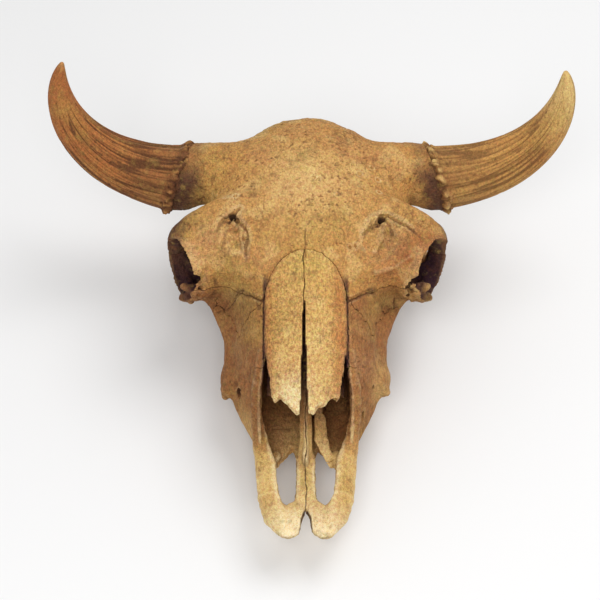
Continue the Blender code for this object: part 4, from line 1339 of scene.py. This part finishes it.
def core_relief(grain, side_name, place, s, angle):
    """A core's radius and the lip of its burr in mm, how deep it is cut and how its burr is knobbed."""
    full = HORN_RADIUS[side_name]
    sharp, blunt = HORN_TAPER[side_name]
    radius = full * ((1 - place**sharp) ** blunt)[:, None] + 0.5 + 0 * s
    girth = np.clip(radius / full, 0.15, 1)
    base = (1 - fade(0.45, 0.8, place))[:, None] + 0 * s
    groove = line_of(grain(6.5, 16.0), 0.3) * (0.2 + 0.8 * fade(0.3, 0.6, grain(24, 3.0, 5.0) + 0.3 * base))
    fine = line_of(grain(3.6, 26.0, 2.0), 0.55) * (0.25 + 0.75 * base)
    flutes = 1.1 * (1 - place)[:, None] ** 0.5 * np.cos(12 * angle)[None]
    waves = flutes + 0.8 * (grain(17, 6.0, 8.0) - 0.5)
    radius += girth * (waves - (0.4 + 0.9 * base) * groove - (0.15 + 0.4 * base) * fine)
    pits = fade(0.68, 0.86, grain(3.4, 1.6, 4.0))
    radius -= girth * (0.75 - 0.4 * base) * pits
    width = BURR_WIDTH * (0.8 + 0.8 * grain(12, 50.0, 1.0))
    swell = fade(1, 0.1, s / width) * (0.45 + 0.55 * fade(0, 3.5, s))
    knobs = fade(0.35, 0.75, grain(4.8, 1.0, 6.0))
    crumbs = grain(3.4, 1.0, 9.0)
    radius += swell * (1.6 + BURR_HEIGHT * 0.95 * knobs + 4.5 * (crumbs - 0.5))
    lip = fade(6, 0, s) * (3.6 * fade(0.25, 0.8, grain(5.6, 60.0, 12.0)) + 0.8)
    cuts = 0.5 * groove + 0.5 * fine + 0.3 * pits + fade(3, 0, s) * 0.4
    deep = np.clip(cuts - 0.5 * swell * knobs + 0.6 * (swell * fade(0.6, 0.35, crumbs)), 0, 1)
    return radius, lip, deep, swell * knobs


def core_faces(rings, side):
    """The faces between rings of points, and a fan over each end to the last two points."""
    index = np.arange(rings * HORN_SIDES).reshape(-1, HORN_SIDES)
    after = np.roll(index, -1, axis=1)
    quads = np.stack([index[:-1], after[:-1], after[1:], index[1:]], -1).reshape(-1, 4)
    base_fan = np.stack([np.full(HORN_SIDES, index.size), after[0], index[0]], -1)
    tip_fan = np.stack([np.full(HORN_SIDES, index.size + 1), index[-1], after[-1]], -1)
    fans = np.concatenate([base_fan, tip_fan])
    return (quads, fans) if side > 0 else (quads[:, ::-1], fans[:, ::-1])


def horn_core(side_name, side):
    """A grooved core that rises from a ragged burr, closed by a flat base and a worn tip."""
    length, full = HORN_LENGTH[side_name], HORN_RADIUS[side_name]
    place = np.concatenate([np.linspace(0, 0.075, HORN_RINGS // 6), np.linspace(0.079, 0.994, HORN_RINGS)])
    angle = np.linspace(0, 2 * math.pi, HORN_SIDES, endpoint=False)
    centre, way, across, other = [value[:, None, :] for value in horn_frame(side_name, place)]
    out = np.cos(angle)[None, :, None] * across + np.sin(angle)[None, :, None] * other
    s = np.broadcast_to(place[:, None] * length, out.shape[:2])
    ring = np.stack([np.cos(angle), np.sin(angle)], -1)[None] * full * np.ones(s.shape)[..., None]
    unrolled = np.concatenate([ring, s[..., None]], -1).reshape(-1, 3)
    seed = 3.0 if side > 0 else 11.0

    def grain(scale, stretch, shift=0.0):
        """Noise over the core's unrolled surface, drawn out lengthwise."""
        return noise(unrolled / (1, 1, stretch), scale, seed + shift).reshape(s.shape)

    radius, lip, deep, knobs = core_relief(grain, side_name, place, s, angle)
    tilt = -full * (out @ BURR_NORMAL) / (way @ BURR_NORMAL)
    level = (0.5 + 0.5 * np.cos(math.pi * np.minimum(place / 0.4, 1.0)))[:, None]
    body = centre + radius[..., None] * out + (tilt * (radius / full) * level)[..., None] * way
    body = body + (GAP - lip)[..., None] * BURR_NORMAL
    flat = out[0] + (tilt[0] / full)[:, None] * way[0]
    base = np.array([centre[0] + r * flat + GAP * BURR_NORMAL for r in (0.5 * full, full)])
    ends = np.stack([centre[0, 0] + GAP * BURR_NORMAL, body[-1].mean(0) + 1.2 * way[-1, 0]])
    points = np.concatenate([base.reshape(-1, 3), body.reshape(-1, 3), ends]) * (side, 1, 1)
    quads, fans = core_faces(len(base) + len(body), side)
    tint = horn_tint(side_name, place, unrolled, deep.ravel(), knobs.ravel())
    cap = np.tile(colour("umber"), (2 * HORN_SIDES, 1))
    tint = np.concatenate([cap, tint, colour("umber")[None], tint[-1:]])
    hollow = np.concatenate([np.full(2 * HORN_SIDES, 0.8), deep.ravel(), [0.8, 0.0]])
    return new_mesh("horn_core_" + side_name + "_skin", points, quads, tint, hollow, fans)


def horn_tint(side_name, place, unrolled, deep, knobs):
    """Colours along a core: dark in its grooves, pale on the burr's knobs and the worn tip."""
    finish = CORE_FINISH[side_name]
    low, middle, high = colour(finish.low), colour(finish.middle), colour(finish.high)
    along = np.repeat(place, HORN_SIDES)
    tint = low + (middle - low) * fade(0.05, 0.4, along)[:, None]
    coat = Coat(tint + (high - tint) * fade(0.55, 0.95, along)[:, None])
    a = turned(unrolled, 0.9)
    coat.lay_colour("rust", 0.35 * fade(0.5, 0.8, noise(a / (1, 1, 2), 26, 2.0)))
    coat.lay_colour("olive", 0.3 * fade(0.5, 0.2, noise(a / (1, 1, 2), 19, 7.0)))
    coat.lay_colour("umber", 0.12 * fade(0.6, 0.85, noise(a, 6, 4.0)))
    coat.lay_colour(finish.knobs, 0.55 * fade(0.2, 0.9, knobs))
    coat.lay_colour("cream", finish.tip * fade(0.95, 0.99, along))
    coat.lay_colour("umber", finish.grooves * fade(0.1, 0.7, deep))
    coat.lay_colour("umber", finish.foot * (fade(16, 0, unrolled[:, 2]) * (1 - knobs)))
    return coat.tint


# Where a mix node for colours keeps its share, the lower and the upper colour and its result.
MIX_SHARE, MIX_UNDER, MIX_OVER, MIX_RESULT = 0, 6, 7, 2


class Nodes:
    """Adds shader nodes to a material and links them as they are named."""

    def __init__(self, material):
        material.use_nodes = True
        self.tree = material.node_tree
        self.shader = self.tree.nodes["Principled BSDF"]

    def put(self, socket, value):
        """Links a socket to another one, or sets it to a constant."""
        if isinstance(value, bpy.types.NodeSocket):
            self.tree.links.new(value, socket)
        else:
            socket.default_value = value

    def set(self, node, **values):
        for name, value in values.items():
            self.put(node.inputs[name.replace("_", " ")], value)

    def node(self, kind, **settings):
        node = self.tree.nodes.new(kind)
        for name, value in settings.items():
            setattr(node, name, value)
        return node

    def noise(self, vector, scale, detail=2.0, rough=0.5, output="Fac"):
        node = self.node("ShaderNodeTexNoise")
        self.set(node, Vector=vector, Scale=scale, Detail=detail, Roughness=rough)
        return node.outputs[output]

    def between(self, value, low, high, out_low=0.0, out_high=1.0):
        node = self.node("ShaderNodeMapRange", interpolation_type="SMOOTHSTEP")
        self.set(node, Value=value, From_Min=low, From_Max=high, To_Min=out_low, To_Max=out_high)
        return node.outputs["Result"]

    def paint(self, under, over, share, mode="MIX"):
        """Lays the colour over the one under it, by the share from 0 to 1."""
        node = self.node("ShaderNodeMix", data_type="RGBA", blend_type=mode)
        self.put(node.inputs[MIX_SHARE], share)
        self.put(node.inputs[MIX_UNDER], under)
        self.put(node.inputs[MIX_OVER], over if isinstance(over, bpy.types.NodeSocket) else (*over, 1.0))
        return node.outputs[MIX_RESULT]

    def math(self, operation, *values):
        node = self.node("ShaderNodeMath", operation=operation)
        for socket, value in zip(node.inputs, values):
            self.put(socket, value)
        return node.outputs[0]

    def sum(self, a, b, weight):
        return self.math("MULTIPLY_ADD", b, weight, a)


def bone_material(name, mottle, speckle, pores, grain=(1.0, 0.6, 1.0)):
    """Old dry bone: mottled in three sizes, specked with earth in its pores, dull and finely rough."""
    material = bpy.data.materials.new(name)
    n = Nodes(material)
    place = n.node("ShaderNodeTexCoord").outputs["Object"]
    tint = n.node("ShaderNodeAttribute", attribute_name="tint").outputs["Color"]
    hollow = n.node("ShaderNodeAttribute", attribute_name="hollow").outputs["Fac"]
    along = n.node("ShaderNodeMapping")
    n.set(along, Vector=place, Scale=grain)
    along = along.outputs["Vector"]

    soft = n.noise(place, 95, 3.0, 0.6)
    small = n.noise(along, 400, 4.0, 0.75)
    tiny = n.noise(place, 950, 3.0, 0.7)
    face = n.paint(tint, colour("rust"), n.between(soft, 0.52, 0.72, 0.0, 0.3 * mottle))
    face = n.paint(face, colour("olive"), n.between(soft, 0.48, 0.3, 0.0, 0.5 * mottle))
    face = n.paint(face, n.noise(place, 330, 5.0, 0.8, "Color"), 0.6 * speckle, "OVERLAY")
    face = n.paint(face, n.between(small, 0.38, 0.62, 0.76, 0.3), 0.75 * speckle, "OVERLAY")
    face = n.paint(face, n.between(tiny, 0.38, 0.62, 0.74, 0.32), 0.6 * speckle, "OVERLAY")
    face = n.paint(face, (0.5, 0.34, 0.24), n.between(tiny, 0.56, 0.7, 0.0, 0.6 * speckle), "MULTIPLY")

    cells = n.node("ShaderNodeTexVoronoi", feature="F1")
    n.set(cells, Vector=place, Scale=520.0, Randomness=1.0)
    pits = n.between(cells.outputs["Distance"], 0.12, 0.34, 1.0, 0.0)
    rare = n.between(n.noise(place, 160, 1.0, 0.5), 0.46, 0.62)
    pits = n.math("MULTIPLY", pits, rare)
    face = n.paint(face, colour("umber"), n.between(pits, 0.0, 1.0, 0.0, 0.75 * pores))

    height = n.sum(n.sum(small, tiny, 0.35), pits, -0.6 * pores)
    bump = n.node("ShaderNodeBump")
    n.set(bump, Strength=0.85, Distance=0.0016, Height=height)
    dull = n.between(n.sum(soft, hollow, 0.6), 0.3, 0.9, 0.58, 0.9)
    n.set(n.shader, Base_Color=face, Roughness=dull, Normal=bump.outputs["Normal"], Specular_IOR_Level=0.18)
    return material


# Each finish: how mottled, how speckled and how porous it is, and how its grain is drawn out.
FINISHES = {
    "vault_bone": (0.8, 0.68, 0.9),
    "base_bone": (1.0, 0.65, 0.9),
    "nasal_bone": (0.7, 0.88, 0.4, (1.0, 0.5, 0.8)),
    "snout_bone": (0.7, 0.6, 0.6),
    "face_bone": (0.4, 0.6, 0.8, (1.0, 0.5, 0.7)),
    "horn_core": (0.5, 0.55, 0.4),
}
MATERIALS = {name: bone_material(name, *finish) for name, finish in FINISHES.items()}


def build_skull():
    """Carves the whole skull, parts it and gives every bone its skin."""
    bone = both_sides(bone_field())
    carve_forehead(bone)
    roughen_rims(bone)
    carve_cheeks(bone)
    open_nose_sides(bone)
    break_nasals(bone)
    add_turbinates(bone)
    carve_base(bone)
    add_crowns(bone)
    rest = Field(bone.axes, bone.value.copy())
    end_pedicles(rest)
    stand_on_floor(rest)
    for name, f in parted(rest).items():
        bone_piece(name, f, bone)
    for name, side in SIDES:
        stand_for(horn_core(name, side), "horn_core_" + name, "horn_core")


# Camera: where it looks, how far away it stands, its height angle and its lens.
CAMERA_TARGET = Vector((-0.0138, 0.0078, 0.1303))
CAMERA_FAR = 1.88
CAMERA_RISE = math.radians(48.0)
CAMERA_LENS = 99.5


def camera():
    """The camera at the photograph's viewing angle."""
    data = bpy.data.cameras.new("camera")
    data.lens = CAMERA_LENS
    data.sensor_width = 36.0
    data.clip_start = 0.05
    eye = linked("camera", data)
    back = Vector((0, -math.cos(CAMERA_RISE), math.sin(CAMERA_RISE)))
    eye.location = CAMERA_TARGET + CAMERA_FAR * back
    eye.rotation_euler = back.to_track_quat("Z", "Y").to_euler()
    bpy.context.scene.camera = eye


def floor():
    """A pale, dull floor much wider than the picture."""
    mesh = bpy.data.meshes.new("floor")
    mesh.from_pydata([(-6, -6, 0), (6, -6, 0), (6, 6, 0), (-6, 6, 0)], [], [(0, 1, 2, 3)])
    material = bpy.data.materials.new("floor")
    n = Nodes(material)
    n.set(n.shader, Base_Color=(0.86, 0.86, 0.86, 1.0), Roughness=0.9)
    mesh.materials.append(material)
    linked("floor", mesh)


def lamp(name, place, size, power):
    """A square soft light that shines at the skull."""
    data = bpy.data.lights.new(name, "AREA")
    data.size = size
    data.energy = power
    obj = linked(name, data)
    obj.location = place
    obj.rotation_euler = (Vector(place) - CAMERA_TARGET).to_track_quat("Z", "Y").to_euler()


def studio():
    """The floor, an even pale sky and two soft lights."""
    floor()
    world = bpy.data.worlds.new("studio")
    bpy.context.scene.world = world
    world.use_nodes = True
    backdrop = world.node_tree.nodes["Background"]
    backdrop.inputs["Color"].default_value = (1.0, 1.0, 1.0, 1.0)
    backdrop.inputs["Strength"].default_value = 0.62
    lamp("key", (0.8, 0.5, 2.1), 1.4, 19)
    lamp("fill", (-0.2, -1.5, 1.75), 1.0, 17)
    bpy.context.scene.view_settings.view_transform = "Standard"
    bpy.context.scene.view_settings.look = "None"


build_skull()
camera()
studio()
